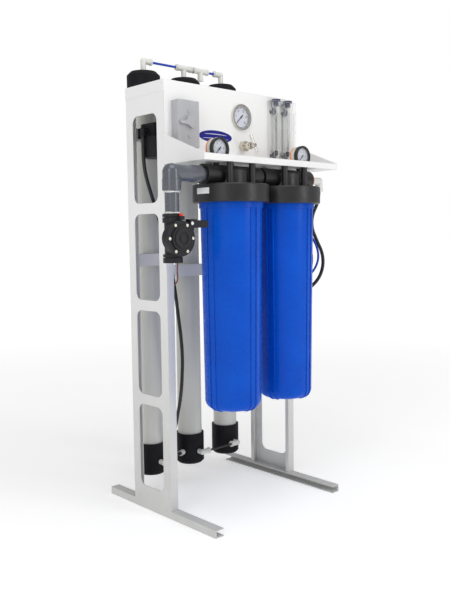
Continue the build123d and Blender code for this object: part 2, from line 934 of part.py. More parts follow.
nipple_start = head_x[0] + port_boss_reach
nipple_gap = head_pitch - 2 * port_boss_reach
with BuildPart() as head_nipple:
    disc(
        sideways(nipple_start - pipe_insert, head_y, port_z),
        pipe_radius,
        nipple_gap + 2 * pipe_insert,
    )
    with BuildSketch(Plane.YZ.offset(nipple_start)):
        with Locations((head_y, port_z)):
            RegularPolygon(pipe_radius + 4.0, 6)
    extrude(amount=nipple_gap)
    disc(
        sideways(nipple_start - pipe_insert, head_y, port_z),
        pipe_bore,
        nipple_gap + 2 * pipe_insert,
        Mode.SUBTRACT,
    )
save(head_nipple.part, "head_nipple")


# ---- Gauges: case with its dial, a lens for each, and a needle ----
def gauge_cup(x, face_y, z, radius, bezel_depth):
    """A cup with a lip in front, and the dial on the floor of the cup."""
    plane = facing(x, face_y, z)
    opening = radius - 2 * gauge_lip
    lens_seat = opening + gauge_lip / 2
    disc(plane, radius, bezel_depth)
    disc(plane, opening, gauge_cavity, Mode.SUBTRACT)
    disc(plane.offset(lens_setback), lens_seat, gauge_cavity - lens_setback, Mode.SUBTRACT)
    dial_plane = plane.offset(gauge_cavity - dial_thickness)
    disc(dial_plane, opening - 2.0, dial_thickness)
    disc(dial_plane, pivot_radius + gauge_fit, 6.0, Mode.SUBTRACT)


def gauge_needle(x, face_y, z, radius):
    """The pointer rests at the lower left, at the scale's zero."""
    pivot = (x, face_y + gauge_cavity - needle_height, z)
    plane = Plane(origin=pivot, x_dir=(1, 0, 1), z_dir=(0, 1, 0))
    reach = radius - 2 * gauge_lip - 4.0
    with BuildPart() as needle:
        with BuildSketch(plane):
            with BuildLine():
                Polyline(
                    (-reach, 0.3),
                    (-reach, -0.3),
                    (0, -1.2),
                    (0.35 * reach, -1.6),
                    (0.35 * reach, 1.6),
                    (0, 1.2),
                    close=True,
                )
            make_face()
            Circle(2.6)
        extrude(amount=needle_thickness)
        disc(plane, pivot_radius, 4.0)
    return needle.part


panel_gauge_face = panel_y - panel_gauge_proud
filter_gauge_face = head_y - filter_gauge_forward
filter_case_y = filter_gauge_face + gauge_bezel_depth
gauges = [
    (filter_gauge_x[0], filter_gauge_face, filter_gauge_z, filter_gauge_radius),
    (filter_gauge_x[1], filter_gauge_face, filter_gauge_z, filter_gauge_radius),
    (panel_gauge_x, panel_gauge_face, panel_gauge_z, panel_gauge_radius),
]
for number, (x, face_y, z, radius) in enumerate(gauges[:2], 1):
    with BuildPart() as filter_gauge:
        case_length = filter_gauge_depth - gauge_bezel_depth
        disc(facing(x, filter_case_y, z), radius - 1.5, case_length)
        gauge_cup(x, face_y, z, radius, gauge_bezel_depth)
        disc(upright(x, head_y, boss_top), gauge_stem, z - boss_top - 12.0)
        disc(upright(x, head_y, boss_top), gauge_thread, -12.0)
    save(filter_gauge.part, "filter_gauge_case_" + str(number))
with BuildPart() as panel_gauge:
    x, face_y, z, radius = gauges[2]
    disc(facing(x, panel_y, z), radius - panel_gauge_step, panel_gauge_can)
    disc(facing(x, panel_y + panel_gauge_can, z), gauge_stem, 16.0)
    gauge_cup(x, face_y, z, radius, panel_gauge_proud)
save(panel_gauge.part, "panel_gauge_case")
with BuildPart() as gauge_lenses:
    for x, face_y, z, radius in gauges:
        disc(
            facing(x, face_y + 1.3, z),
            radius - 1.5 * gauge_lip - gauge_fit,
            lens_thickness,
        )
save(gauge_lenses.part, "gauge_lenses")
needle_names = ("filter_gauge_needle_1", "filter_gauge_needle_2", "panel_gauge_needle")
for name, (x, face_y, z, radius) in zip(needle_names, gauges):
    save(gauge_needle(x, face_y, z, radius), name)

# ---- Inlet: elbow, two pipes and the diaphragm valve ----
inlet_plane = upright(inlet_x, head_y, port_z)
elbow_bottom = port_z - elbow_reach
boss_end = head_x[0] - port_boss_reach
with BuildPart() as inlet_elbow:
    with Locations((inlet_x, head_y, port_z)):
        Sphere(elbow_radius - 1.0)
    disc(inlet_plane, elbow_radius - 1.0, -elbow_reach)
    disc(inlet_plane.offset(-elbow_reach + 26.0), elbow_radius, -26.0)
    disc(sideways(inlet_x, head_y, port_z), elbow_radius - 1.5, elbow_run)
    with Locations((inlet_x, head_y, port_z)):
        Sphere(pipe_bore, mode=Mode.SUBTRACT)
    disc(inlet_plane, pipe_bore, -elbow_reach, Mode.SUBTRACT)
    disc(sideways(inlet_x, head_y, port_z), pipe_bore, elbow_run, Mode.SUBTRACT)
    socket = pipe_radius + pipe_clearance
    disc(inlet_plane.offset(-elbow_reach), socket, pipe_insert + 2, Mode.SUBTRACT)
    disc(
        sideways(inlet_x + elbow_run, head_y, port_z),
        socket,
        -pipe_insert - 2,
        Mode.SUBTRACT,
    )
save(inlet_elbow.part, "inlet_elbow")

run_start = inlet_x + elbow_run - pipe_insert
run_length = boss_end + pipe_insert - run_start
drop_start = elbow_bottom + pipe_insert
drop_length = drop_start - (valve_top - pipe_insert)
with BuildPart() as inlet_pipes:
    disc(sideways(run_start, head_y, port_z), pipe_radius, run_length)
    disc(sideways(run_start, head_y, port_z), pipe_bore, run_length, Mode.SUBTRACT)
    disc(upright(inlet_x, head_y, drop_start), pipe_radius, -drop_length)
    disc(upright(inlet_x, head_y, drop_start), pipe_bore, -drop_length, Mode.SUBTRACT)
save(inlet_pipes.part, "inlet_pipes")

bonnet_back = head_y - bonnet_forward
bonnet_face = bonnet_back - bonnet_thickness
coil_y = head_y - coil_forward
coil_z = valve_z + coil_rise
coil_x = inlet_x + coil_offset
coil_bottom = coil_z - coil_height / 2
lead_x = coil_x + coil_width / 2 - lead_boss_radius - 0.2
lead_y = coil_y + 3.0
bleed_x = inlet_x + bleed_offset
bleed_y = head_y - bleed_forward
bleed_z = valve_top - 5.5
valve_dish = bonnet_radius - 1.0
dish_depth = 9.0


def coil_seat():
    """Clears the coil's block out of the valve, down to the coil's underside."""
    block(
        upright(coil_x, coil_y, coil_bottom),
        coil_width + 2 * coil_clearance,
        coil_depth + 2 * coil_clearance,
        coil_height,
        Mode.SUBTRACT,
    )


with BuildPart() as valve_body:
    disc(upright(inlet_x, head_y, valve_bottom), valve_port_radius - 4.0, valve_length)
    for union_z in (valve_bottom, valve_top - valve_union_length):
        disc(upright(inlet_x, head_y, union_z), valve_port_radius, valve_union_length - 8.0)
        disc(
            upright(inlet_x, head_y, union_z + valve_union_length - 6.5),
            valve_port_radius,
            6.5,
        )
    disc(facing(inlet_x, bonnet_back, valve_z), valve_dish, dish_depth)
    disc(facing(inlet_x, bonnet_back + dish_depth, valve_z), 30.0, 16.0)
    dish_y = bonnet_back + dish_depth / 2
    neck_low = valve_z + valve_dish - 10.0
    block(upright(bleed_x, dish_y, neck_low), bleed_boss_width, dish_depth, bleed_z - neck_low)
    boss_low = valve_z + bonnet_radius + 0.8
    boss_front = bleed_y - bleed_boss_width / 2
    block(
        upright(bleed_x, (boss_front + dish_y) / 2, boss_low),
        bleed_boss_width,
        dish_y - boss_front,
        bleed_z - boss_low,
    )
    rest_z = valve_z + 10.0
    block(upright(inlet_x + 36.0, dish_y, rest_z), 12.0, dish_depth, coil_bottom - rest_z)
    coil_seat()
    disc(upright(inlet_x, head_y, valve_bottom), pipe_bore, valve_length, Mode.SUBTRACT)
    disc(upright(inlet_x, head_y, valve_top), socket, -pipe_insert - 2, Mode.SUBTRACT)
    disc(upright(inlet_x, head_y, valve_bottom), socket, pipe_insert + 2, Mode.SUBTRACT)
    disc(upright(bleed_x, bleed_y, bleed_z), bleed_thread + 0.3, -8.0, Mode.SUBTRACT)
    with Locations(facing(inlet_x, bonnet_back, valve_z)):
        with PolarLocations(bonnet_screw_circle, bonnet_screw_count):
            Cylinder(2.2, 16.0, mode=Mode.SUBTRACT)
save(valve_body.part, "valve_body")

with BuildPart() as valve_bonnet:
    disc(facing(inlet_x, bonnet_face + 8.0, valve_z), bonnet_radius, 8.0)
    disc(facing(inlet_x, bonnet_face + 3.0, valve_z), 28.0, 5.0)
    disc(facing(inlet_x, bonnet_face, valve_z), 22.0, 4.0)
    disc(facing(inlet_x, bonnet_face, valve_z), 15.0, 2.0, Mode.SUBTRACT)
    disc(facing(inlet_x, bonnet_face, valve_z), 8.0, 4.0)
    coil_seat()
    with Locations(facing(inlet_x, bonnet_back, valve_z)):
        with PolarLocations(bonnet_screw_circle, bonnet_screw_count):
            Cylinder(2.2, 40.0, mode=Mode.SUBTRACT)
save(valve_bonnet.part, "valve_bonnet")

with BuildPart() as bonnet_screws:
    screw_plane = facing(inlet_x, bonnet_face + 8.0, valve_z)
    with Locations(screw_plane):
        with PolarLocations(bonnet_screw_circle, bonnet_screw_count):
            Cylinder(3.6, 2.4, align=(Align.CENTER, Align.CENTER, Align.MAX))
            Cylinder(2.0, 13.0, align=(Align.CENTER, Align.CENTER, Align.MIN))
save(bonnet_screws.part, "bonnet_screws")

with BuildPart() as solenoid_coil:
    arm_height = coil_height - 3.0
    arm = sideways(coil_x + coil_width / 2, coil_y, coil_z - 1.0)
    block(arm, coil_depth - 1.0, arm_height, coil_reach)
    chamfer(solenoid_coil.edges().filter_by(Axis.X), 1.2)
    block(upright(coil_x, coil_y, coil_bottom), coil_width, coil_depth, coil_height)
    disc(facing(coil_x - 4.2, coil_y - coil_depth / 2, coil_z + 0.5), 3.9, -1.0)
    lead_exit = upright(lead_x, lead_y, coil_bottom)
    disc(lead_exit, lead_boss_radius, -lead_boss_length)
    disc(lead_exit.offset(-lead_boss_length), lead_radius + 0.15, 5.0, Mode.SUBTRACT)
save(solenoid_coil.part, "solenoid_coil")

with BuildPart() as bleed_screw:
    disc(upright(bleed_x, bleed_y, bleed_z + 0.2), bleed_radius, 6.0)
    disc(upright(bleed_x, bleed_y, bleed_z + 0.2), bleed_thread, -7.0)
    block(upright(bleed_x, bleed_y, bleed_z + 6.2), 8.0, 1.6, -2.0, Mode.SUBTRACT)
save(bleed_screw.part, "bleed_screw")

# ---- Outlet elbow in the second housing's right port ----
outlet_reach = 28.0
outlet_start = head_x[1] + port_boss_reach
outlet_x = outlet_start + 50.0
outlet_end = port_z - outlet_reach
with BuildPart() as outlet_elbow:
    disc(sideways(outlet_start - pipe_insert, head_y, port_z), pipe_radius, pipe_insert)
    with BuildSketch(Plane.YZ.offset(outlet_start)):
        with Locations((head_y, port_z)):
            RegularPolygon(pipe_radius + 4.0, 6)
    extrude(amount=9.0)
    disc(sideways(outlet_start, head_y, port_z), 10.0, outlet_x - outlet_start)
    with Locations((outlet_x, head_y, port_z)):
        Sphere(10.0)
    disc(upright(outlet_x, head_y, port_z), 10.0, -outlet_reach)
    disc(upright(outlet_x, head_y, outlet_end + 8.0), 11.5, -8.0)
    tube_bore = tube_large + push_clearance
    disc(upright(outlet_x, head_y, outlet_end), tube_bore, 15.0, Mode.SUBTRACT)
    disc(upright(outlet_x, head_y, port_z), 3.5, -outlet_reach, Mode.SUBTRACT)
    disc(
        sideways(outlet_start - pipe_insert, head_y, port_z),
        3.5,
        outlet_x - outlet_start + pipe_insert,
        Mode.SUBTRACT,
    )
save(outlet_elbow.part, "outlet_elbow")

# ---- Weatherproof power switch ----
lever_hub_z = switch_z + 8.6
switch_face = panel_y - switch_cover_depth
with BuildPart() as switch_cover:
    block(facing(switch_x, switch_face, switch_z), switch_width, switch_height, switch_cover_depth)
    fillet(switch_cover.edges().filter_by(Axis.Y), 2.5)
    chamfer(switch_cover.faces().sort_by(Axis.Y)[0].edges(), 2.0)
    disc(facing(switch_x, switch_face - 2.0, lever_hub_z), 16.0, 4.0)
    for screw_z in (switch_z + 30.0, switch_z - 30.0):
        disc(facing(switch_x, switch_face - 2.0, screw_z), 4.2, 3.0)
    disc(facing(switch_x, switch_face - 2.0, lever_hub_z), 4.0, 10.0, Mode.SUBTRACT)
    block(
        facing(switch_x, panel_y, switch_z),
        switch_width - 8.0,
        switch_height - 8.0,
        -(switch_cover_depth - 4.0),
        Mode.SUBTRACT,
    )
save(switch_cover.part, "switch_cover")

with BuildPart() as switch_lever:
    hub_plane = facing(switch_x, switch_face - 8.0, lever_hub_z)
    disc(hub_plane, 11.0, 5.5)
    disc(hub_plane, 3.7, 14.0)
    with BuildSketch(facing(switch_x, switch_face - 8.0, lever_hub_z)):
        with BuildLine():
            Polyline(
                (-9.0, 1.0),
                (-31.0, 3.0),
                (-33.0, 8.0),
                (-29.0, 11.0),
                (-9.0, 12.0),
                (7.0, 21.0),
                (10.0, 15.0),
                (9.0, 4.0),
                close=True,
            )
        make_face()
    extrude(amount=5.0)
save(switch_lever.part, "switch_lever")

with BuildPart() as switch_box:
    block(
        facing(switch_x, panel_y, switch_z),
        switch_width - 13.0,
        switch_height - 13.0,
        switch_box_depth,
    )
    fillet(switch_box.edges().filter_by(Axis.Y), 4.0)
    offset(amount=-3.0, openings=switch_box.faces().sort_by(Axis.Y)[0])
    for gland_x in (switch_x - 14.0, switch_x + 14.0):
        gland = upright(gland_x, panel_y + 28.0, switch_z - (switch_height - 13.0) / 2)
        disc(gland, 8.0, -12.0)
        disc(gland.offset(-14.0), lead_radius + 0.15, 10.0, Mode.SUBTRACT)
save(switch_box.part, "switch_box")

# ---- Concentrate needle valve with its T-handle ----
valve_nose = 34.0
with BuildPart() as needle_valve_body:
    nose = facing(needle_valve_x, panel_y - valve_nose, needle_valve_z)
    with BuildSketch(facing(needle_valve_x, panel_y, needle_valve_z)):
        RegularPolygon(15.0, 6)
    extrude(amount=-12.0)
    disc(nose, 8.0, valve_nose + 30.0)
    with BuildSketch(facing(needle_valve_x, panel_y - 22.0, needle_valve_z)):
        RegularPolygon(11.0, 6)
    extrude(amount=-7.0)
    disc(nose, 3.3, 22.0, Mode.SUBTRACT)
    for side in (-1, 1):
        disc(
            sideways(needle_valve_x, panel_y + 24.0, needle_valve_z),
            fitting_radius,
            side * 24.0,
        )
    for side in (-1, 1):
        end = sideways(needle_valve_x + side * 24.0, panel_y + 24.0, needle_valve_z)
        disc(end, tube_small + push_clearance, -side * push_depth, Mode.SUBTRACT)
save(needle_valve_body.part, "needle_valve_body")

handle_y = panel_y - valve_nose - 9.0
handle_tilt = 27.5
with BuildPart() as needle_valve_handle:
    disc(facing(needle_valve_x, handle_y, needle_valve_z), 3.0, 28.0)
    disc(facing(needle_valve_x, handle_y - 4.5, needle_valve_z), 5.0, 10.0)
    turn = math.radians(handle_tilt)
    along = Vector(math.sin(turn), 0, -math.cos(turn))
    start = Vector(needle_valve_x, handle_y, needle_valve_z) - along * (handle_length / 2)
    disc(Plane(origin=start, z_dir=along), handle_radius, handle_length)
save(needle_valve_handle.part, "needle_valve_handle")

# ---- Flow meters: clear blocks, floats, plugs and rear connectors ----
plug_radius = 12.5
with BuildPart() as flow_meter_bodies:
    for x in meter_x:
        block(upright(x, meter_y, meter_bottom), meter_width, meter_depth, meter_height)
        disc(upright(x, meter_y, meter_bottom + 14.0), meter_bore, meter_height, Mode.SUBTRACT)
        disc(upright(x, meter_y, meter_top), plug_radius - 3.0, -13.0, Mode.SUBTRACT)
        for z in meter_port_z:
            port = facing(x, panel_y, z)
            disc(port, meter_port_radius, -7.0, Mode.SUBTRACT)
            disc(port, 3.0, -meter_depth / 2, Mode.SUBTRACT)
save(flow_meter_bodies.part, "flow_meter_bodies")

connector_back = 26.0
with BuildPart() as flow_meter_fittings:
    for x in meter_x:
        disc(upright(x, meter_y, meter_top), plug_radius, 5.0)
        disc(upright(x, meter_y, meter_top), plug_radius - 3.2, -12.0)
        for z in meter_port_z:
            port = facing(x, panel_y, z)
            disc(port, meter_port_radius - 0.25, -6.5)
            disc(port, meter_port_radius - 0.25, sheet + 0.5)
            disc(port.offset(sheet), meter_port_radius + 3.0, 6.0)
            disc(port.offset(sheet), fitting_radius, connector_back)
            rear_socket = port.offset(sheet + connector_back)
            disc(rear_socket, tube_small + push_clearance, -push_depth, Mode.SUBTRACT)
save(flow_meter_fittings.part, "flow_meter_fittings")

float_z = meter_bottom + 16.0
for number, x in enumerate(meter_x, 1):
    with BuildPart() as meter_float:
        disc(upright(x, meter_y, float_z), float_radius, float_length)
        chamfer(meter_float.edges().group_by(Axis.Z)[0], 3.5)
    save(meter_float.part, "flow_meter_float_" + str(number))

# ---- Booster pump behind the panel ----
pump_x = across(54.0)
pump_y = back_y - 56.0
pump_radius = 36.0
motor_z = 922.0
pump_head_z = 975.0
pump_top = 1008.0
pump_port_z = 990.0
pump_head_width = 56.0
outlet_port_reach = 15.5
with BuildPart() as booster_pump:
    disc(upright(pump_x, pump_y, motor_z), pump_radius, pump_head_z - motor_z)
    fillet(booster_pump.edges().group_by(Axis.Z)[0], 4.0)
    block(
        upright(pump_x, pump_y, pump_head_z),
        pump_head_width,
        pump_head_width,
        pump_top - pump_head_z,
    )
    foot_y = (pump_y + bar_y) / 2
    block(upright(pump_x, foot_y, pump_head_z), 40.0, bar_y - pump_y, 26.0)
    inlet_port = sideways(pump_x + pump_head_width / 2, pump_y, pump_port_z)
    disc(inlet_port, 9.0, 16.0)
    disc(inlet_port.offset(16.0), tube_large + push_clearance, -12.0, Mode.SUBTRACT)
    outlet_port_x = pump_x - pump_head_width / 2 - outlet_port_reach
    disc(sideways(pump_x - pump_head_width / 2, pump_y, pump_port_z), 7.5, -outlet_port_reach)
    with Locations((outlet_port_x, pump_y, pump_port_z)):
        Sphere(7.5)
    disc(upright(outlet_port_x, pump_y, pump_port_z), 7.5, -16.0)
    disc(
        upright(outlet_port_x, pump_y, pump_port_z - 16.0),
        tube_large + push_clearance,
        12.0,
        Mode.SUBTRACT,
    )
save(booster_pump.part, "booster_pump")


# ---- Tubes and the valve lead: straight runs joined by tangent arcs ----
def run_lengths(route):
    points = [Vector(*place) for place in route]
    return [(after - before).length for before, after in zip(points, points[1:])]


def bend_radii(route):
    points = [Vector(*place) for place in route]
    runs = run_lengths(route)
    radii = []
    for index in range(1, len(points) - 1):
        arriving = points[index] - points[index - 1]
        leaving = points[index + 1] - points[index]
        turn = math.radians(arriving.get_angle(leaving))
        shorter = min(runs[index - 1], runs[index])
        radii.append(0.45 * shorter / math.tan(turn / 2))
    return radii


def tube_along(name, route, radius):
    radii = bend_radii(route)
    with BuildPart() as tube:
        with BuildLine() as path:
            FilletPolyline(*route, radius=radii)
        start = Vector(*route[0])
        heading = Vector(*route[1]) - start
        with BuildSketch(Plane(origin=start, z_dir=heading)):
            Circle(radius)
        sweep(path=path.wires()[0])
    length = sum(edge.length for edge in path.edges())
    print(
        name,
        "length", round(length),
        "runs", round(min(run_lengths(route))), round(max(run_lengths(route))),
        "tightest", round(min(radii), 1),
        "volume ratio", round(tube.part.volume / (math.pi * radius ** 2 * length), 4),
    )
    save(tube.part, name)


pump_outlet = (outlet_port_x, pump_y, pump_port_z - 8.0)
pump_inlet = (pump_x + pump_head_width / 2 + 8.0, pump_y, pump_port_z)
feed_hose_route = [
    pump_outlet,
    (outlet_port_x, pump_y, 932),
    point(14, 101, 888),
    point(28, 102, 846),
    point(47, 102, 796),
    point(66, 101, 738),
    point(83, 100, 680),
    point(97, 99, 622),
    point(107, 99, 564),
    point(115, 100, 507),
    point(125, 102, 450),
    point(131, 104, 392),
    point(130, 106, 333),
    point(125, 108, 278),
    point(119, 115, 230),
    point(117, 127, 185),
    point(123, 143, 143),
    point(143, 164, 111),
    tuple(feed_cap + feed_direction * 73.0),
    tuple(feed_cap + feed_direction * 48.5),
]
outlet_hose_route = [
    (outlet_x, head_y, outlet_end + 8.0),
    (outlet_x, head_y, 812),
    point(450, -87, 776),
    point(452, -82, 740),
    point(462, -92, 704),
    point(471, -107, 667),
    point(467, -112, 627),
    point(452, -104, 590),
    point(428, -78, 560),
    point(396, -40, 542),
    point(362, 2, 541),
    point(334, 38, 562),
    point(315, 62, 602),
    point(302, 73, 650),
    point(290, 77, 700),
    point(277, 78, 750),
    point(263, 78, 800),
    point(247, 78, 848),
    point(224, 80, 893),
    point(194, 84, 933),
    point(160, 90, 966),
    (across(124), pump_y, pump_port_z),
    pump_inlet,
]
product_tube_route = [
    (meter_x[1], panel_y + sheet + connector_back - 8.0, meter_port_z[0]),
    (meter_x[1], behind(38), meter_port_z[0]),
    point(428, 56, 930),
    point(428, 66, 912),
    point(428, 66, 891),
    point(429, 56, 868),
    point(431, 36, 842),
    point(433, 8, 815),
    point(434, -22, 787),
    point(437, -52, 757),
    point(443, -78, 727),
    point(453, -98, 694),
    point(456, -106, 659),
    point(450, -100, 628),
    point(439, -82, 602),
    point(427, -56, 582),
    point(412, -25, 566),
    point(409, 8, 551),
    point(409, 33.7, 546.5),
    point(418.6, 50.4, bulkhead_height),
    point(435.3, bulkhead_first, bulkhead_height),
    point(453, bulkhead_first, bulkhead_height),
]
drain_tube_route = [
    (needle_valve_x + 16.0, panel_y + 24.0, needle_valve_z),
    (across(300), panel_y + 24.0, needle_valve_z),
    point(326, 27, 951),
    point(351, 35, 937),
    point(373, 41, 914),
    point(389, 40, 884),
    point(400, 29, 852),
    point(407, 8, 820),
    point(412, -20, 788),
    point(417, -48, 757),
    point(426, -72, 726),
    point(434, -90, 693),
    point(438, -98, 658),
    point(436, -94, 622),
    point(427, -76, 588),
    point(414, -50, 562),
    point(403, -18, 545),
    point(399, 16, 539),
    point(402, 48, 542),
    point(409, 73.7, 545.5),
    point(418.6, 90.4, bulkhead_height),
    point(435.3, bulkhead_second, bulkhead_height),
    point(453, bulkhead_second, bulkhead_height),
]
valve_lead_route = [
    (lead_x, lead_y, coil_bottom - 2.0),
    (lead_x, lead_y, 712),
    point(-20.6, -109.4, 690),
    point(-23.6, -91.4, 674),
    point(-24.6, -73.4, 659),
    point(-11.6, -55.4, 643),
    point(2.4, -38.4, 629),
    point(17, -23, 616),
    point(25, -7, 605),
    point(29.3, 4.7, 599),
    point(33.6, 16.1, 594.5),
    point(37.8, 27.3, 596),
    point(41.2, 36.6, 602.7),
    point(43.4, 42.5, 614),
    point(43.7, 43.1, 632),
    point(44, 42, 662),
    point(43, 40, 704),
    point(45, 38, 752),
    point(44, 36, 802),
    point(44, 33, 850),
    point(43, 29, 892),
    point(42.8, 26.5, 918),
    (switch_x - 14.0, panel_y + 28.0, switch_z - (switch_height - 13.0) / 2 - 8.0),
]
tube_along("feed_hose", feed_hose_route, tube_large)
tube_along("outlet_hose", outlet_hose_route, tube_large)
tube_along("product_tube", product_tube_route, tube_small)
tube_along("drain_tube", drain_tube_route, tube_small)
tube_along("valve_lead", valve_lead_route, lead_radius)
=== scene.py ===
import math

import bmesh
import bpy
from mathutils import Matrix, Vector


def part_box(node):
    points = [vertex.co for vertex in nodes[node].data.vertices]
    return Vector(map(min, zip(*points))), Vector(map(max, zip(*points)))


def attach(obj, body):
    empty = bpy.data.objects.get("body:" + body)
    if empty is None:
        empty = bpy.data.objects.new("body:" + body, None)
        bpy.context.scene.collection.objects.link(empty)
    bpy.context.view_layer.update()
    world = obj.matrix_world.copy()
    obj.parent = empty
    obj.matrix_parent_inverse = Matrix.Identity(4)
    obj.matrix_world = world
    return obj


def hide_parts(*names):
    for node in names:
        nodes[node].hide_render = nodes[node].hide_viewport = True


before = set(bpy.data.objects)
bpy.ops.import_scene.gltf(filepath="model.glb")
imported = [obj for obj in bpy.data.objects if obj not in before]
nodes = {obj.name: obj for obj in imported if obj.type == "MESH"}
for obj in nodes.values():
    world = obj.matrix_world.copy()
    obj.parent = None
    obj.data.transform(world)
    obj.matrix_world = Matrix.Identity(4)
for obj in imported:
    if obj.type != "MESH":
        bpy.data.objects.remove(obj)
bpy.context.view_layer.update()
RIGHT, UP, FRONT = Vector((1, 0, 0)), Vector((0, 0, 1)), Vector((0, -1, 0))
INK_HEIGHT = 0.00012

# ---- Camera ----
YAW = math.radians(42.775)
PITCH = math.radians(-5.078)
ROLL = math.radians(-0.729)
CAMERA_AT = (-1.31264, -1.46269, 0.72192)
camera_data = bpy.data.cameras.new("camera")
camera_data.lens = 43.995
camera_data.sensor_width = 36.0
camera_data.clip_end = 200.0
camera = bpy.data.objects.new("camera", camera_data)
bpy.context.scene.collection.objects.link(camera)
ahead = Vector((
    math.sin(YAW) * math.cos(PITCH),
    math.cos(YAW) * math.cos(PITCH),
    math.sin(PITCH),
))
level = Vector((math.cos(YAW), -math.sin(YAW), 0.0))
over = level.cross(ahead)
right = level * math.cos(ROLL) + over * math.sin(ROLL)
top = over * math.cos(ROLL) - level * math.sin(ROLL)
turn = Matrix((right, top, -ahead)).transposed().to_4x4()
camera.matrix_world = Matrix.Translation(CAMERA_AT) @ turn
bpy.context.scene.camera = camera
bpy.context.scene.view_settings.view_transform = "Standard"


# ---- Node helpers ----
class Surface:
    """A material that starts from a Principled shader in object space."""

    def __init__(self, name):
        self.material = bpy.data.materials.new(name)
        self.material.use_nodes = True
        self.tree = self.material.node_tree
        self.shader = self.tree.nodes["Principled BSDF"]
        self.place = self.node("ShaderNodeTexCoord").outputs["Object"]
        self.heights = []

    def node(self, kind, **values):
        made = self.tree.nodes.new(kind)
        for key, value in values.items():
            setattr(made, key, value)
        return made

    def link(self, source, target):
        self.tree.links.new(source, target)

    def stretched(self, scale):
        mapping = self.node("ShaderNodeMapping")
        mapping.inputs["Scale"].default_value = scale
        self.link(self.place, mapping.inputs["Vector"])
        return mapping.outputs["Vector"]

    def noise(self, scale, detail=3.0, roughness=0.5, stretch=None):
        noise = self.node("ShaderNodeTexNoise")
        noise.inputs["Scale"].default_value = scale
        noise.inputs["Detail"].default_value = detail
        noise.inputs["Roughness"].default_value = roughness
        self.link(self.stretched(stretch) if stretch else self.place, noise.inputs["Vector"])
        return noise.outputs["Fac"]

    def spread(self, value, low, high, start=0.3, end=0.7):
        ranged = self.node("ShaderNodeMapRange")
        for socket, number in zip((1, 2, 3, 4), (start, end, low, high)):
            ranged.inputs[socket].default_value = number
        self.link(value, ranged.inputs[0])
        return ranged.outputs[0]

    def maths(self, operation, first, second=None):
        made = self.node("ShaderNodeMath", operation=operation)
        for socket, value in zip(made.inputs, (first, second)):
            if value is None:
                continue
            if isinstance(value, (int, float)):
                socket.default_value = value
            else:
                self.link(value, socket)
        return made.outputs[0]

    def mixed(self, factor, first, second):
        made = self.node("ShaderNodeMix", data_type="RGBA")
        for socket, value in zip((made.inputs[0], made.inputs[6], made.inputs[7]), (factor, first, second)):
            if isinstance(value, tuple):
                socket.default_value = (*value, 1.0)
            elif isinstance(value, (int, float)):
                socket.default_value = value
            else:
                self.link(value, socket)
        return made.outputs[2]

    def axis(self, letter):
        split = self.node("ShaderNodeSeparateXYZ")
        self.link(self.place, split.inputs[0])
        return split.outputs[letter]

    def edges(self, radius, strength=8.0):
        """Near 1 on rounded-over edges and near 0 on flat faces."""
        bevel = self.node("ShaderNodeBevel", samples=4)
        bevel.inputs["Radius"].default_value = radius
        geometry = self.node("ShaderNodeNewGeometry")
        dot = self.node("ShaderNodeVectorMath", operation="DOT_PRODUCT")
        self.link(bevel.outputs[0], dot.inputs[0])
        self.link(geometry.outputs["Normal"], dot.inputs[1])
        gap = self.maths("SUBTRACT", 1.0, dot.outputs["Value"])
        scaled = self.maths("MULTIPLY", gap, strength)
        clamp = self.node("ShaderNodeClamp")
        self.link(scaled, clamp.inputs[0])
        self.rounded = bevel.outputs[0]
        return clamp.outputs[0]

    def bump(self, height, distance, strength=1.0):
        self.heights.append((height, distance, strength))

    def finish(self, colour, roughness):
        if isinstance(colour, tuple):
            self.shader.inputs["Base Color"].default_value = (*colour, 1.0)
        else:
            self.link(colour, self.shader.inputs["Base Color"])
        if isinstance(roughness, (int, float)):
            self.shader.inputs["Roughness"].default_value = roughness
        else:
            self.link(roughness, self.shader.inputs["Roughness"])
        normal = getattr(self, "rounded", None)
        for height, distance, strength in self.heights:
            bump = self.node("ShaderNodeBump")
            bump.inputs["Distance"].default_value = distance
            bump.inputs["Strength"].default_value = strength
            self.link(height, bump.inputs["Height"])
            if normal is not None:
                self.link(normal, bump.inputs["Normal"])
            normal = bump.outputs[0]
        if normal is not None:
            self.link(normal, self.shader.inputs["Normal"])
        return self.material


def plastic(name, colour, tint, roughness, texture=1500.0, depth=0.00006, edge=0.0008, gloss=0.5, coat=0.0):
    """Moulded plastic: a slow drift of tone, a fine moulded texture and brighter edges."""
    s = Surface(name)
    worn = s.edges(edge)
    drift = s.spread(s.noise(18.0, 4.0), 0.0, 1.0)
    tone = s.mixed(drift, colour, tint)
    lifted = tuple(min(1.0, c * 1.25 + 0.012) for c in colour)
    tone = s.mixed(s.maths("MULTIPLY", worn, 0.45), tone, lifted)
    s.bump(s.noise(texture, 2.0), depth, 0.5)
    s.shader.inputs["Specular IOR Level"].default_value = gloss
    s.shader.inputs["Coat Weight"].default_value = coat
    s.shader.inputs["Coat Roughness"].default_value = 0.12
    rough = s.spread(s.noise(60.0, 3.0), roughness * 0.85, roughness * 1.18)
    return s.finish(tone, rough)


def metal(name, colour, tint, roughness, brushed=None, edge=0.0006):
    """Metal with fine scratches or brushing, brighter where edges rub."""
    s = Surface(name)
    worn = s.edges(edge)
    drift = s.spread(s.noise(30.0, 4.0), 0.0, 1.0)
    tone = s.mixed(drift, colour, tint)
    tone = s.mixed(s.maths("MULTIPLY", worn, 0.5), tone, tuple(min(1.0, c * 1.2) for c in colour))
    stretch = brushed or (1.0, 1.0, 1.0)
    grain = s.noise(900.0, 2.0, stretch=stretch)
    s.bump(grain, 0.00004, 0.4)
    s.shader.inputs["Metallic"].default_value = 1.0
    rough = s.spread(grain, roughness * 0.75, roughness * 1.3)
    return s.finish(tone, rough)


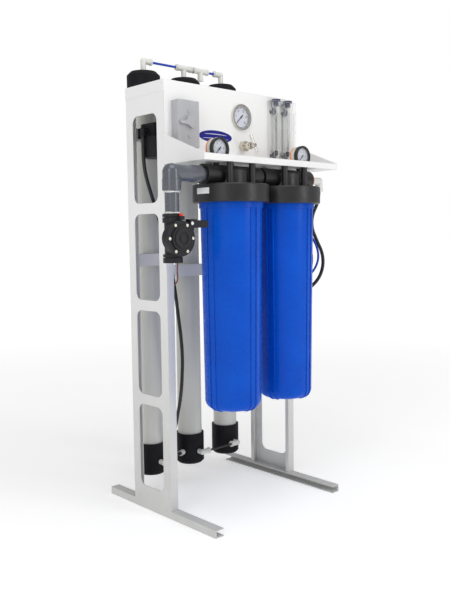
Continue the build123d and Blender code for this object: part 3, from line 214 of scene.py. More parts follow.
# ---- Materials ----
def powder_coat():
    """White powder coat: orange peel, painted shade that darkens it towards the bottom and a slight greying
    at edges.
    """
    s = Surface("white_powder_coat")
    worn = s.edges(0.0012, 6.0)
    drift = s.spread(s.noise(4.0, 5.0), 0.0, 1.0)
    tone = s.mixed(drift, (0.83, 0.835, 0.83), (0.87, 0.87, 0.865))
    # Painted shade: the coat darkens towards the bottom, slightly mottled.
    low = s.spread(s.axis("Z"), 1.0, 0.0, 0.0, 0.75)
    painted_low_shade = s.maths("MULTIPLY", low, s.spread(s.noise(22.0, 6.0, 0.65), 0.8, 1.0))
    tone = s.mixed(painted_low_shade, tone, (0.60, 0.60, 0.585))
    tone = s.mixed(s.maths("MULTIPLY", worn, 0.25), tone, (0.74, 0.74, 0.73))
    s.bump(s.noise(420.0, 2.0, 0.4), 0.00025, 0.35)
    s.bump(s.noise(1600.0, 2.0), 0.00008, 0.4)
    rough = s.spread(s.noise(90.0, 3.0), 0.34, 0.46)
    return s.finish(tone, rough)


def blue_sump():
    """Deep blue gloss plastic with a slow drift of tone, lighter edges and a fine texture."""
    s = Surface("blue_housing")
    worn = s.edges(0.001)
    drift = s.spread(s.noise(10.0, 4.0), 0.0, 1.0)
    tone = s.mixed(drift, (0.0, 0.068, 0.50), (0.0, 0.088, 0.58))
    tone = s.mixed(s.maths("MULTIPLY", worn, 0.5), tone, (0.02, 0.12, 0.72))
    s.bump(s.noise(900.0, 2.0), 0.00004, 0.3)
    s.shader.inputs["Specular IOR Level"].default_value = 0.14
    rough = s.spread(s.noise(45.0, 3.0), 0.24, 0.32)
    return s.finish(tone, rough)


def wound_tube():
    """Off-white pressure tube, faintly streaked along its length."""
    s = Surface("membrane_tube_finish")
    streaks = s.spread(s.noise(55.0, 4.0, stretch=(1.0, 1.0, 0.03)), 0.0, 1.0)
    tone = s.mixed(streaks, (0.59, 0.59, 0.555), (0.66, 0.66, 0.625))
    scuffs = s.spread(s.noise(16.0, 6.0, 0.7), 0.0, 0.35, 0.55, 0.75)
    tone = s.mixed(scuffs, tone, (0.54, 0.54, 0.52))
    s.bump(s.noise(220.0, 2.0, stretch=(1.0, 1.0, 0.1)), 0.00012, 0.4)
    return s.finish(tone, s.spread(s.noise(80.0, 3.0), 0.33, 0.45))


def clear(name, tint, haze_amount, sheen):
    """Clear plastic: light passes straight through, with a faint haze and a gloss at grazing angles."""
    s = Surface(name)
    haze = s.spread(s.noise(35.0, 4.0), 0.0, 1.0)
    s.bump(s.noise(300.0, 2.0), 0.00003, 0.25)
    skin = s.mixed(haze, tint, tuple(c * 0.95 for c in tint))
    material = s.finish(skin, s.spread(haze, 0.05, 0.12, 0.0, 1.0))
    through = s.node("ShaderNodeBsdfTransparent")
    s.link(s.mixed(haze, tint, tuple(c * 0.98 for c in tint)), through.inputs["Color"])
    facing = s.node("ShaderNodeFresnel")
    facing.inputs["IOR"].default_value = 1.3
    amount = s.maths("ADD", s.maths("MULTIPLY", facing.outputs[0], sheen), haze_amount)
    blend = s.node("ShaderNodeMixShader")
    s.link(amount, blend.inputs[0])
    s.link(through.outputs[0], blend.inputs[1])
    s.link(s.shader.outputs[0], blend.inputs[2])
    s.link(blend.outputs[0], s.tree.nodes["Material Output"].inputs["Surface"])
    return material


def tube_skin(name, colour, tint, roughness=0.38):
    """Extruded tube: small scuffs and a fine texture."""
    s = Surface(name)
    scuffs = s.spread(s.noise(140.0, 5.0, 0.7), 0.0, 0.6, 0.5, 0.75)
    tone = s.mixed(scuffs, colour, tint)
    s.bump(s.noise(500.0, 3.0), 0.0001, 0.4)
    return s.finish(tone, s.spread(s.noise(60.0, 3.0), roughness * 0.8, roughness * 1.2))


# How far behind a gauge's front face its parts begin and end.
BEZEL_END = 0.0092
RIM_WIDTH = 0.0045
DIAL_RECESS = 0.0049
DIAL_BACK = 0.0075
DIAL_INSET = 0.0046


def gauge_finish(name, face_y, radius, centre_x, centre_z, bezel, band, rim, depth):
    """One case: bezel in front, band behind it, a coloured rear rim, a white dial inside."""
    s = Surface(name)
    worn = s.edges(0.0006)
    y = s.axis("Y")
    dx = s.maths("SUBTRACT", s.axis("X"), centre_x)
    dz = s.maths("SUBTRACT", s.axis("Z"), centre_z)
    away = s.maths("SQRT", s.maths("ADD", s.maths("MULTIPLY", dx, dx), s.maths("MULTIPLY", dz, dz)))
    behind_bezel = s.maths("GREATER_THAN", y, face_y + BEZEL_END)
    at_rim = s.maths("GREATER_THAN", y, face_y + depth - RIM_WIDTH)
    outside = s.maths("GREATER_THAN", away, radius + 0.0005)
    deep = s.maths("GREATER_THAN", y, face_y + DIAL_RECESS)
    inside = s.maths("LESS_THAN", away, radius - DIAL_INSET)
    is_dial = s.maths("MULTIPLY", deep, inside)
    in_front = s.maths("LESS_THAN", y, face_y + DIAL_BACK)
    is_dial = s.maths("MULTIPLY", is_dial, in_front)
    grain = s.noise(240.0, 3.0)
    tone = s.mixed(s.spread(grain, 0.0, 0.4), bezel, tuple(c * 0.8 for c in bezel))
    tone = s.mixed(behind_bezel, tone, band)
    tone = s.mixed(at_rim, tone, rim)
    tone = s.mixed(outside, tone, (0.012, 0.012, 0.013))
    tone = s.mixed(is_dial, tone, (0.80, 0.81, 0.84))
    tone = s.mixed(s.maths("MULTIPLY", worn, 0.3), tone, (0.5, 0.5, 0.5))
    s.bump(grain, 0.00004, 0.3)
    return s, tone, is_dial


WHITE = powder_coat()
BLUE = blue_sump()
TUBE = wound_tube()
BLACK = plastic("satin_black", (0.010, 0.010, 0.011), (0.015, 0.015, 0.016), 0.36, 1100.0, 0.0001, gloss=0.5)
CAP_BLACK = plastic("cap_black", (0.009, 0.009, 0.011), (0.013, 0.013, 0.015), 0.5, 700.0, 0.00012, gloss=0.1)
VALVE_BLACK = plastic(
    "valve_black", (0.016, 0.016, 0.019), (0.024, 0.024, 0.027), 0.42, 900.0, 0.0001, gloss=0.22)
PUMP_GREY = plastic("pump_grey", (0.012, 0.012, 0.015), (0.02, 0.02, 0.024), 0.5, 800.0, 0.0001, gloss=0.15)
PVC = plastic("pvc_grey", (0.088, 0.098, 0.118), (0.108, 0.118, 0.138), 0.25, 1000.0, 0.00004, coat=0.5)
ACETAL = plastic("white_acetal", (0.70, 0.70, 0.66), (0.77, 0.77, 0.74), 0.3, 900.0, 0.00004)
NAVY = plastic("navy_plastic", (0.012, 0.02, 0.07), (0.02, 0.03, 0.10), 0.3, 900.0, 0.00004)
RED = plastic("red_plastic", (0.75, 0.035, 0.012), (0.65, 0.03, 0.01), 0.32, 900.0, 0.00004)
RUBBER = plastic("seal_rubber", (0.012, 0.012, 0.012), (0.02, 0.02, 0.02), 0.6, 900.0, 0.00006)
FILTER = plastic("filter_cloth", (0.75, 0.75, 0.72), (0.62, 0.62, 0.60), 0.85, 500.0, 0.0004)
WRAP = plastic("membrane_wrap", (0.62, 0.66, 0.68), (0.7, 0.73, 0.74), 0.3, 400.0, 0.0001)
NEEDLE = plastic("needle_black", (0.01, 0.01, 0.01), (0.02, 0.02, 0.02), 0.45, 900.0, 0.00003)
ZINC = metal("zinc_steel", (0.66, 0.66, 0.64), (0.58, 0.58, 0.57), 0.3)
BRIGHT = metal("bright_screw", (0.86, 0.82, 0.72), (0.78, 0.74, 0.64), 0.22)
STRAP = metal("stainless_strap", (0.62, 0.62, 0.61), (0.55, 0.55, 0.55), 0.3, (1.0, 1.0, 8.0))
NICKEL = metal("nickel", (0.74, 0.69, 0.60), (0.66, 0.62, 0.54), 0.16)
CHROME = metal("chrome", (0.84, 0.83, 0.80), (0.78, 0.77, 0.74), 0.1)
CAST = plastic("cast_grey", (0.40, 0.41, 0.43), (0.46, 0.46, 0.48), 0.42, 600.0, 0.00022)
ACRYLIC = clear("clear_acrylic", (0.985, 0.988, 0.985), 0.03, 0.6)
LENS = clear("clear_lens", (0.96, 0.965, 0.98), 0.01, 0.4)
BLACK_TUBE = tube_skin("black_tube", (0.012, 0.012, 0.013), (0.03, 0.03, 0.032))
BLUE_TUBE = tube_skin("blue_tube", (0.0, 0.05, 0.46), (0.01, 0.10, 0.6), 0.3)

by_node = {
    WHITE: ("frame_side_left", "frame_side_right", "foot_left", "foot_right", "control_panel",
            "filter_shelf", "crossbars"),
    ZINC: ("frame_bolts",),
    BRIGHT: ("bonnet_screws",),
    TUBE: ("membrane_tube_1", "membrane_tube_2", "membrane_tube_3"),
    CAP_BLACK: ("membrane_top_caps", "membrane_bottom_caps"),
    WRAP: ("membrane_elements",),
    STRAP: ("membrane_clamps",),
    ACETAL: ("push_fit_fittings", "outlet_elbow"),
    BLUE_TUBE: ("permeate_tubes",),
    BLACK_TUBE: ("feed_jumper",),
    BLACK: ("filter_head_1", "filter_head_2", "head_nipple"),
    BLUE: ("filter_sump_1", "filter_sump_2"),
    RUBBER: ("sump_oring_1", "sump_oring_2"),
    FILTER: ("filter_cartridge_1", "filter_cartridge_2"),
    RED: ("relief_button_1", "relief_button_2", "bleed_screw"),
    LENS: ("gauge_lenses",),
    NEEDLE: ("flow_meter_float_1", "flow_meter_float_2", "filter_gauge_needle_1", "filter_gauge_needle_2",
             "panel_gauge_needle"),
    PVC: ("inlet_elbow", "inlet_pipes"),
    VALVE_BLACK: ("valve_body", "valve_bonnet", "solenoid_coil", "switch_box"),
    CAST: ("switch_cover", "switch_lever"),
    NICKEL: ("needle_valve_body", "needle_valve_handle"),
    ACRYLIC: ("flow_meter_bodies",),
    NAVY: ("flow_meter_fittings",),
    PUMP_GREY: ("booster_pump",),
}


def dress(node, material):
    mesh = nodes[node].data
    mesh.materials.clear()
    mesh.materials.append(material)


for material, names in by_node.items():
    for name in names:
        dress(name, material)


# ---- Mesh helpers ----
def place(obj, material, body="unit"):
    bpy.context.scene.collection.objects.link(obj)
    obj.data.materials.append(material)
    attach(obj, body)


def from_bmesh(name, work, smooth=30.0):
    bmesh.ops.recalc_face_normals(work, faces=work.faces)
    mesh = bpy.data.meshes.new(name)
    work.to_mesh(mesh)
    work.free()
    for polygon in mesh.polygons:
        polygon.use_smooth = True
    mesh.set_sharp_from_angle(angle=math.radians(smooth))
    return bpy.data.objects.new(name, mesh)


def frame_on(axis):
    """Two directions square to the axis."""
    z = Vector(axis).normalized()
    side = Vector((0, 0, 1)) if abs(z.z) < 0.9 else Vector((0, 1, 0))
    x = side.cross(z).normalized()
    return x, z.cross(x), z


def join_loops(work, lower, upper):
    """One band of faces between two loops of the same count."""
    count = len(lower)
    for index in range(count):
        after = (index + 1) % count
        work.faces.new((lower[index], lower[after], upper[after], upper[index]))


def lathe_into(work, profile, base, axis, segments=56):
    """Turns a closed or open profile of (radius, height) pairs about an axis."""
    x, y, z = frame_on(axis)
    base = Vector(base)
    rings = []
    for radius, height in profile:
        ring = []
        for index in range(segments):
            angle = 2 * math.pi * index / segments
            out = x * math.cos(angle) + y * math.sin(angle)
            ring.append(work.verts.new(base + z * height + out * radius))
        rings.append(ring)
    for lower, upper in zip(rings, rings[1:]):
        join_loops(work, lower, upper)
    return rings


def lathe(name, profile, base, axis, material, body="unit", segments=56, closed=True):
    work = bmesh.new()
    rings = lathe_into(work, profile + ([profile[0]] if closed else []), base, axis, segments)
    if closed:
        bmesh.ops.remove_doubles(work, verts=rings[0] + rings[-1], dist=1e-7)
    else:
        work.faces.new(list(reversed(rings[0])))
        work.faces.new(rings[-1])
    place(from_bmesh(name, work), material, body)


def bar_into(work, centre, along, across, out, length, width, depth):
    """A small box with its own three directions."""
    corners = []
    for a in (-0.5, 0.5):
        for b in (-0.5, 0.5):
            for c in (0.0, 1.0):
                corner = centre + along * (a * length) + across * (b * width) + out * (c * depth)
                corners.append(work.verts.new(corner))
    for face in ((0, 1, 3, 2), (4, 6, 7, 5), (0, 4, 5, 1), (2, 3, 7, 6), (0, 2, 6, 4), (1, 5, 7, 3)):
        work.faces.new([corners[i] for i in face])


def printed(group, name, words, size, spot):
    """A number printed on a face that looks to the front."""
    text = bpy.data.curves.new(group + "_number", "FONT")
    text.body = words
    text.size = size
    text.align_x = "CENTER"
    text.align_y = "CENTER"
    text.extrude = 0.00004
    number = bpy.data.objects.new(name, text)
    number.location = spot
    number.rotation_euler = (math.radians(90), 0, 0)
    place(number, INK)


# ---- Tubes and the valve lead ----
def free_tube(name, route, diameter, material, body="unit"):
    curve = bpy.data.curves.new(name, "CURVE")
    curve.dimensions = "3D"
    curve.bevel_depth = diameter / 2
    curve.bevel_resolution = 6
    curve.resolution_u = 10
    curve.use_fill_caps = True
    spline = curve.splines.new("NURBS")
    spline.points.add(len(route) - 1)
    for point, spot in zip(spline.points, route):
        point.co = (*spot, 1.0)
    spline.order_u = 3
    spline.use_endpoint_u = True
    tube = bpy.data.objects.new(name + "_line", curve)
    place(tube, material, body)
    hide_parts(name)


feed_hose_route = [
    (-0.1755, 0.066, 0.982),
    (-0.1755, 0.066, 0.932),
    (-0.172, 0.067, 0.888),
    (-0.158, 0.068, 0.846),
    (-0.139, 0.068, 0.796),
    (-0.12, 0.067, 0.738),
    (-0.103, 0.066, 0.68),
    (-0.089, 0.065, 0.622),
    (-0.079, 0.065, 0.564),
    (-0.071, 0.066, 0.507),
    (-0.061, 0.068, 0.45),
    (-0.055, 0.07, 0.392),
    (-0.056, 0.072, 0.333),
    (-0.061, 0.074, 0.278),
    (-0.067, 0.081, 0.23),
    (-0.069, 0.093, 0.185),
    (-0.063, 0.109, 0.143),
    (-0.043, 0.13, 0.111),
    (-0.0206, 0.14303, 0.095),
    (0.00242, 0.15141, 0.095),
]
outlet_hose_route = [
    (0.2682, -0.1414, 0.8455),
    (0.2682, -0.1414, 0.812),
    (0.264, -0.121, 0.776),
    (0.266, -0.116, 0.74),
    (0.276, -0.126, 0.704),
    (0.285, -0.141, 0.667),
    (0.281, -0.146, 0.627),
    (0.266, -0.138, 0.59),
    (0.242, -0.112, 0.56),
    (0.21, -0.074, 0.542),
    (0.176, -0.032, 0.541),
    (0.148, 0.004, 0.562),
    (0.129, 0.028, 0.602),
    (0.116, 0.039, 0.65),
    (0.104, 0.043, 0.7),
    (0.091, 0.044, 0.75),
    (0.077, 0.044, 0.8),
    (0.061, 0.044, 0.848),
    (0.038, 0.046, 0.893),
    (0.008, 0.05, 0.933),
    (-0.026, 0.056, 0.966),
    (-0.062, 0.066, 0.99),
    (-0.096, 0.066, 0.99),
]
product_tube_route = [
    (0.241, -0.016, 0.94),
    (0.241, 0.004, 0.94),
    (0.242, 0.022, 0.93),
    (0.242, 0.032, 0.912),
    (0.242, 0.032, 0.891),
    (0.243, 0.022, 0.868),
    (0.245, 0.002, 0.842),
    (0.247, -0.026, 0.815),
    (0.248, -0.056, 0.787),
    (0.251, -0.086, 0.757),
    (0.257, -0.112, 0.727),
    (0.267, -0.132, 0.694),
    (0.27, -0.14, 0.659),
    (0.264, -0.134, 0.628),
    (0.253, -0.116, 0.602),
    (0.241, -0.09, 0.582),
    (0.226, -0.059, 0.566),
    (0.223, -0.026, 0.551),
    (0.223, -0.0003, 0.5465),
    (0.2326, 0.0164, 0.546),
    (0.2493, 0.026, 0.546),
    (0.267, 0.026, 0.546),
]
drain_tube_route = [
    (0.0955, -0.012, 0.9565),
    (0.114, -0.012, 0.9565),
    (0.14, -0.007, 0.951),
    (0.165, 0.001, 0.937),
    (0.187, 0.007, 0.914),
    (0.203, 0.006, 0.884),
    (0.214, -0.005, 0.852),
    (0.221, -0.026, 0.82),
    (0.226, -0.054, 0.788),
    (0.231, -0.082, 0.757),
    (0.24, -0.106, 0.726),
    (0.248, -0.124, 0.693),
    (0.252, -0.132, 0.658),
    (0.25, -0.128, 0.622),
    (0.241, -0.11, 0.588),
    (0.228, -0.084, 0.562),
    (0.217, -0.052, 0.545),
    (0.213, -0.018, 0.539),
    (0.216, 0.014, 0.542),
    (0.223, 0.0397, 0.5455),
    (0.2326, 0.0564, 0.546),
    (0.2493, 0.066, 0.546),
    (0.267, 0.066, 0.546),
]
valve_lead_route = [
    (-0.2056, -0.1584, 0.737),
    (-0.2056, -0.1584, 0.712),
    (-0.2066, -0.1434, 0.69),
    (-0.2096, -0.1254, 0.674),
    (-0.2106, -0.1074, 0.659),
    (-0.1976, -0.0894, 0.643),
    (-0.1836, -0.0724, 0.629),
    (-0.169, -0.057, 0.616),
    (-0.161, -0.041, 0.605),
    (-0.1567, -0.0293, 0.599),
    (-0.1524, -0.0179, 0.5945),
    (-0.1482, -0.0067, 0.596),
    (-0.1448, 0.0026, 0.6027),
    (-0.1426, 0.0085, 0.614),
    (-0.1423, 0.0091, 0.632),
    (-0.142, 0.008, 0.662),
    (-0.143, 0.006, 0.704),
    (-0.141, 0.004, 0.752),
    (-0.142, 0.002, 0.802),
    (-0.142, -0.001, 0.85),
    (-0.143, -0.005, 0.892),
    (-0.1432, -0.0075, 0.918),
    (-0.1432, -0.008, 0.9365),
]
free_tube("feed_hose", feed_hose_route, 0.0095, BLACK_TUBE)
free_tube("outlet_hose", outlet_hose_route, 0.0095, BLACK_TUBE)
free_tube("product_tube", product_tube_route, 0.00635, BLUE_TUBE)
free_tube("drain_tube", drain_tube_route, 0.00635, BLACK_TUBE)


def twin_lead():
    """The valve lead: two insulated wires, dark red and black, twisted along it."""
    s = Surface("valve_lead_skin")
    wave = s.node("ShaderNodeTexWave", wave_type="BANDS", bands_direction="Z")
    wave.inputs["Scale"].default_value = 60.0
    s.link(s.place, wave.inputs["Vector"])
    red = s.spread(wave.outputs["Fac"], 0.0, 1.0, 0.55, 0.6)
    tone = s.mixed(red, (0.012, 0.012, 0.013), (0.30, 0.01, 0.015))
    s.bump(wave.outputs["Fac"], 0.0003, 0.4)
    return s.finish(tone, 0.4)


free_tube("valve_lead", valve_lead_route, 0.0035, twin_lead())

# ---- Gauges: finishes, scale marks, numbers and bezels ----
INK = plastic("scale_ink", (0.02, 0.02, 0.025), (0.04, 0.04, 0.05), 0.5, 600.0, 0.00002)
DIAL_FACE = 0.0051  # the printed face, behind the gauge's front
DIAL_START, DIAL_SWEEP = 225, 270
TICKS, DIAL_NUMBERS = 50, 5


def dial_marks(name, centre, radius, face_y, label_step):
    """Ticks on an arc of 270 degrees from the lower left, and plain numbers."""
    dial_y = face_y + DIAL_FACE
    work = bmesh.new()
    for index in range(TICKS + 1):
        angle = math.radians(DIAL_START - DIAL_SWEEP * index / TICKS)
        out = Vector((math.cos(angle), 0, math.sin(angle)))
        side = Vector((-math.sin(angle), 0, math.cos(angle)))
        major = index % 5 == 0
        length = radius * (0.13 if major else 0.07)
        spot = Vector((centre.x, dial_y, centre.z)) + out * (radius * 0.90 - length / 2)
        width = radius * (0.028 if major else 0.013)
        bar_into(work, spot, out, side, FRONT, length, width, INK_HEIGHT)
    inner, outer, raised = radius * 0.905, radius * 0.925, 0.0001
    lathe_into(work, [(inner, 0.0), (inner, raised), (outer, raised), (outer, 0.0)],
               (centre.x, dial_y, centre.z), FRONT)
    place(from_bmesh(name + "_marks", work), INK)
    for index in range(DIAL_NUMBERS + 1):
        angle = math.radians(DIAL_START - DIAL_SWEEP * index / DIAL_NUMBERS)
        spot = (
            centre.x + math.cos(angle) * radius * 0.63,
            dial_y - 0.0001,
            centre.z + math.sin(angle) * radius * 0.63,
        )
        printed(name, name + "_number_" + str(index), str(index * label_step), radius * 0.24, spot)


def bezel_ring(name, centre, radius, face_y, material):
    """A rolled bead at the front edge of a gauge's case."""
    ring = []
    for step in range(16):
        angle = 2 * math.pi * step / 16
        ring.append((radius - 0.0024 + 0.0022 * math.cos(angle), 0.0018 + 0.0017 * math.sin(angle)))
    lathe(name, ring, (centre.x, face_y, centre.z), (0, 1, 0), material)


STEEL = (0.72, 0.70, 0.65)
BLACK_RUBBER = (0.012, 0.012, 0.013)
PALE_CAN = (0.62, 0.60, 0.54)
ORANGE_RIM = (0.78, 0.20, 0.04)
gauges = (  # node, radius, depth behind the front face, step between the numbers
    ("filter_gauge_case_1", 0.028, 0.025, 2),
    ("filter_gauge_case_2", 0.028, 0.025, 2),
    ("panel_gauge_case", 0.034, 0.040, 4),
)
for name, radius, depth, label_step in gauges:
    low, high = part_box(name)
    centre = Vector(((low.x + high.x) / 2, 0, high.z - radius))
    panel = name.startswith("panel")
    bezel, band, rim = (STEEL, STEEL, STEEL) if panel else (BLACK_RUBBER, PALE_CAN, ORANGE_RIM)
    s, tone, is_dial = gauge_finish(
        name + "_finish", low.y, radius, centre.x, centre.z, bezel, band, rim, depth)
    if panel:
        metal_part = s.maths("SUBTRACT", 1.0, is_dial)
        s.link(metal_part, s.shader.inputs["Metallic"])
        dress(name, s.finish(tone, s.spread(is_dial, 0.14, 0.5, 0.0, 1.0)))
    else:
        dress(name, s.finish(tone, s.spread(is_dial, 0.3, 0.5, 0.0, 1.0)))
    dial_marks(name, centre, radius - 0.005, low.y, label_step)
    bezel_ring(name + "_bezel", centre, radius, low.y, CHROME if panel else BLACK)


# ---- Oval label on the panel, with no lettering ----
EDGE_BEVEL = 0.0003
LABEL_THICKNESS = 0.0003
OVAL_SIDES = 72
WAVE_BARS = 24


def oval(name, centre, width, height, material, offset=0.0):
    """A thin oval plate on the panel, its front edge bevelled."""
    work = bmesh.new()
    rim, face = [], []
    for index in range(OVAL_SIDES):
        angle = 2 * math.pi * index / OVAL_SIDES
        x, z = math.cos(angle), math.sin(angle)
        rim.append(work.verts.new((centre.x + x * width / 2, centre.y - offset, centre.z + z * height / 2)))
        face.append(work.verts.new((
            centre.x + x * (width / 2 - EDGE_BEVEL),
            centre.y - offset - LABEL_THICKNESS,
            centre.z + z * (height / 2 - EDGE_BEVEL),
        )))
    join_loops(work, rim, face)
    work.faces.new(face)
    place(from_bmesh(name, work), material)


LABEL_BLUE = plastic("label_blue", (0.010, 0.010, 0.20), (0.015, 0.018, 0.24), 0.4, 500.0, 0.00002, gloss=0.2)
LABEL_WHITE = plastic("label_white", (0.82, 0.83, 0.85), (0.77, 0.78, 0.80), 0.35, 500.0, 0.00002)
panel_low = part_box("control_panel")[0]
label_at = Vector((-0.0185, panel_low.y, 0.975))
oval("label_border", label_at, 0.119, 0.0345, LABEL_WHITE)
oval("label_field", label_at, 0.115, 0.0315, LABEL_BLUE, LABEL_THICKNESS)
work = bmesh.new()
for width, drop in ((0.076, 0.0050), (0.086, -0.0058)):
    for index in range(WAVE_BARS):
        t = (index - 11.5) / 12.0
        spot = label_at + Vector((t * width / 2, -2 * LABEL_THICKNESS, drop + 0.0012 * (1 - t * t)))
        bar_into(work, spot, RIGHT, UP, FRONT, width / WAVE_BARS * 1.02, 0.0016 * (1 - 0.6 * t * t), 0.00015)
place(from_bmesh("label_waves", work), LABEL_WHITE)

# ---- Blank label on the first ring ----
head_low, head_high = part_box("filter_head_1")
ring_centre = Vector(((head_low.x + head_high.x) / 2, (head_low.y + head_high.y) / 2, 0))
LABEL_START, LABEL_SWEEP, LABEL_STRIPS = 168, 26, 14
# Distance from the ring's axis and height, up the label's face.
label_section = ((0.09422, 0.8195), (0.09445, 0.8200), (0.09445, 0.8330), (0.09422, 0.8335))
work = bmesh.new()
columns = []
for index in range(LABEL_STRIPS + 1):
    angle = math.radians(LABEL_START + LABEL_SWEEP * index / LABEL_STRIPS)
    out = Vector((math.cos(angle), math.sin(angle), 0))
    columns.append([
        work.verts.new(ring_centre + out * reach + Vector((0, 0, z)))
        for reach, z in label_section
    ])
for before, after in zip(columns, columns[1:]):
    for row in range(3):
        work.faces.new((before[row], after[row], after[row + 1], before[row + 1]))
place(from_bmesh("ring_label", work), LABEL_WHITE)

# ---- Thread tape at the ends of the inlet pipe ----
TAPE = plastic("thread_tape", (0.80, 0.81, 0.80), (0.70, 0.71, 0.70), 0.55, 260.0, 0.0006, 0.0003)
elbow_low, elbow_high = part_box("inlet_elbow")
valve_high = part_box("valve_body")[1]
ELBOW_HALF_WIDTH = 0.021
TAPE_HEIGHT = 0.0042
TAPE_GAP = 0.0003
pipe_x = elbow_low.x + ELBOW_HALF_WIDTH
pipe_y = (elbow_low.y + elbow_high.y) / 2


def tape(name, z, radius):
    """A few uneven turns of tape around the pipe."""
    work = bmesh.new()
    segments = 72
    rings = []
    section = ((0.0, 0.0), (0.0009, 0.12), (0.0011, 0.5), (0.0008, 0.88), (0.0, 1.0))
    for k, (grow, share) in enumerate(section):
        ring = []
        for index in range(segments):
            angle = 2 * math.pi * index / segments
            wave = 0.00025 * math.sin(7 * angle + k) + 0.0002 * math.sin(13 * angle + 2 * k)
            reach = radius + grow + (wave if 0 < k < 4 else 0.0)
            lift = 0.0005 * math.sin(3 * angle + k)
            spot = (pipe_x + reach * math.cos(angle), pipe_y + reach * math.sin(angle))
            ring.append(work.verts.new((*spot, z + TAPE_HEIGHT * share + lift)))
        rings.append(ring)
    for lower, upper in zip(rings, rings[1:]):
        join_loops(work, lower, upper)
    place(from_bmesh(name, work, 60.0), TAPE)


tape("tape_above_valve", valve_high.z + TAPE_GAP, 0.0172)
tape("tape_below_elbow", elbow_low.z - 0.0046, 0.0171)

# ---- Small trims: coil dot, orange seal, collets and the needle valve's grip ----
ORANGE = plastic("orange_seal", (0.80, 0.19, 0.03), (0.72, 0.16, 0.03), 0.45, 600.0, 0.00005)
COIL_FACE = (-0.2161, -0.1709, 0.7495)
OUTLET_FACE = (0.2184, -0.1414, 0.8655)
TOP_LINE_Y, TOP_LINE_Z = 0.168, 1.191
lathe("coil_dot", [(0.0039, -0.0002), (0.0039, 0.0004)], COIL_FACE, (0, -1, 0), LABEL_WHITE, closed=False)
seal = [(0.0209, 0.0), (0.0236, 0.0), (0.0240, 0.0008), (0.0236, 0.0032), (0.0209, 0.0032)]
lathe("outlet_seal", seal, OUTLET_FACE, (1, 0, 0), ORANGE)
collet = [(0.0034, 0.0), (0.0060, 0.0), (0.0062, 0.0006), (0.0056, 0.0021), (0.0034, 0.0024)]
FITTING_REACH = 0.027  # from a fitting's middle to its mouth
mouths = ((-0.0935, 1), (0.048, -1), (0.048, 1), (0.110, -1), (0.110, 1), (0.1895, -1))
for number, (fitting_x, way) in enumerate(mouths, 1):
    mouth = (fitting_x + way * FITTING_REACH, TOP_LINE_Y, TOP_LINE_Z)
    lathe("collet_" + str(number), collet, mouth, (way, 0, 0), BLUE_TUBE if number % 2 else ACETAL)
handle_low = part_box("needle_valve_handle")[0]
HANDLE_TILT = math.radians(27.5)
HANDLE_X, HANDLE_Z = 0.0795, 0.9565
HUB_FRONT = 0.0045  # the hub's front, in front of the bar's axis
grip_axis = Vector((math.sin(HANDLE_TILT), 0, -math.cos(HANDLE_TILT)))
grip_middle = Vector((HANDLE_X, handle_low.y + HUB_FRONT, HANDLE_Z))
bar, shoulder, grip_radius, rounding = 0.0030, 0.0037, 0.0041, 0.0006
for number, (start, end) in enumerate(((-0.0288, -0.0062), (0.0062, 0.0288)), 1):
    grip = [(bar, start), (shoulder, start), (grip_radius, start + rounding),
            (grip_radius, end - rounding), (shoulder, end), (bar, end)]
    lathe("handle_grip_" + str(number), grip, grip_middle, grip_axis, CHROME, "valve_handle")

# ---- Flow meters: printed scales and numbers ----
METER_AXIS_INSET = 0.020
SCALE_TICKS, SCALE_STEP = 21, 0.005
SCALE_GAP = 0.0075  # from the bore's axis to the scale
meter_low, meter_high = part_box("flow_meter_bodies")
meter_centres = (meter_low.x + METER_AXIS_INSET, meter_high.x - METER_AXIS_INSET)
for number, x in enumerate(meter_centres, 1):
    work = bmesh.new()
    for index in range(SCALE_TICKS):
        z = meter_low.z + 0.034 + index * SCALE_STEP
        major = index % 5 == 0
        length = 0.011 if major else 0.006
        for side in (-1, 1):
            spot = Vector((x + side * (SCALE_GAP + length / 2), meter_low.y, z))
            bar_into(work, spot, RIGHT, UP, FRONT, length, 0.0005, INK_HEIGHT)
    for side in (-1, 1):
        spot = Vector((x + side * SCALE_GAP, meter_low.y, meter_low.z + 0.084))
        bar_into(work, spot, UP, RIGHT, FRONT, 0.1, 0.0004, INK_HEIGHT)
    place(from_bmesh("meter_scale_" + str(number), work), INK)
    for index in range(5):
        spot = (x - 0.0165, meter_low.y - 0.00006, meter_low.z + 0.0375 + index * 0.025)
        printed("meter", "meter_%d_number_%d" % (number, index), str(index), 0.0052, spot)

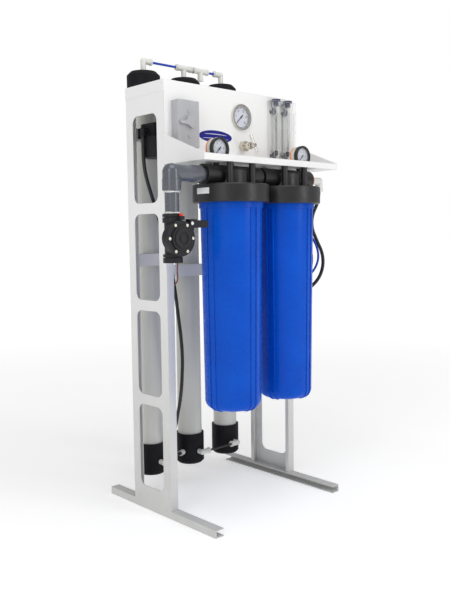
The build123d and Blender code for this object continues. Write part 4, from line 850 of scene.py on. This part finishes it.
# ---- Floor, lights and world ----
FLOOR = Surface("floor")
dust = FLOOR.spread(FLOOR.noise(3.0, 4.0), 0.0, 1.0)
floor_tone = FLOOR.mixed(dust, (0.90, 0.90, 0.90), (0.92, 0.92, 0.92))
# Painted light: the floor glows, weaker near the unit and stronger further out.
FLOOR.shader.inputs["Emission Color"].default_value = (1.0, 1.0, 1.0, 1.0)
spot_x, spot_y = FLOOR.axis("X"), FLOOR.axis("Y")
away = FLOOR.maths("SQRT", FLOOR.maths("ADD", FLOOR.maths("MULTIPLY", spot_x, spot_x),
                                       FLOOR.maths("MULTIPLY", spot_y, spot_y)))
FLOOR.link(FLOOR.spread(away, 0.34, 0.68, 0.8, 4.5), FLOOR.shader.inputs["Emission Strength"])
floor_material = FLOOR.finish(floor_tone, 0.85)
work = bmesh.new()
FLOOR_REACH, FLOOR_DROP = 60.0, 0.0002
corners = ((-1, -1), (1, -1), (1, 1), (-1, 1))
work.faces.new([work.verts.new((x * FLOOR_REACH, y * FLOOR_REACH, -FLOOR_DROP)) for x, y in corners])
mesh = bpy.data.meshes.new("floor")
work.to_mesh(mesh)
work.free()
floor = bpy.data.objects.new("floor", mesh)
floor.data.materials.append(floor_material)
bpy.context.scene.collection.objects.link(floor)

WORLD_LIGHT, WORLD_SEEN = 0.42, 1.0
world = bpy.data.worlds.new("studio")
world.use_nodes = True
tree = world.node_tree
background = tree.nodes["Background"]
background.inputs["Color"].default_value = (1.0, 1.0, 1.0, 1.0)
path = tree.nodes.new("ShaderNodeLightPath")
strength = tree.nodes.new("ShaderNodeMapRange")
strength.inputs[3].default_value = WORLD_LIGHT
strength.inputs[4].default_value = WORLD_SEEN
tree.links.new(path.outputs["Is Camera Ray"], strength.inputs[0])
tree.links.new(strength.outputs[0], background.inputs["Strength"])
bpy.context.scene.world = world


def softbox(name, spot, target, width, height, power):
    """A rectangular light that faces its target."""
    data = bpy.data.lights.new(name, "AREA")
    data.shape = "RECTANGLE"
    data.size = width
    data.size_y = height
    data.energy = power
    light = bpy.data.objects.new(name, data)
    light.location = spot
    light.rotation_euler = (Vector(target) - Vector(spot)).to_track_quat("-Z", "Y").to_euler()
    bpy.context.scene.collection.objects.link(light)


softbox("key_left", (-2.6, -1.2, 1.9), (0.0, 0.0, 0.8), 1.0, 1.8, 15.0)
softbox("front_right", (0.9, -2.5, 1.6), (0.05, -0.1, 0.7), 0.7, 1.8, 16.0)
softbox("overhead", (-0.4, -0.8, 3.0), (0.0, 0.0, 0.5), 1.8, 1.8, 22.0)
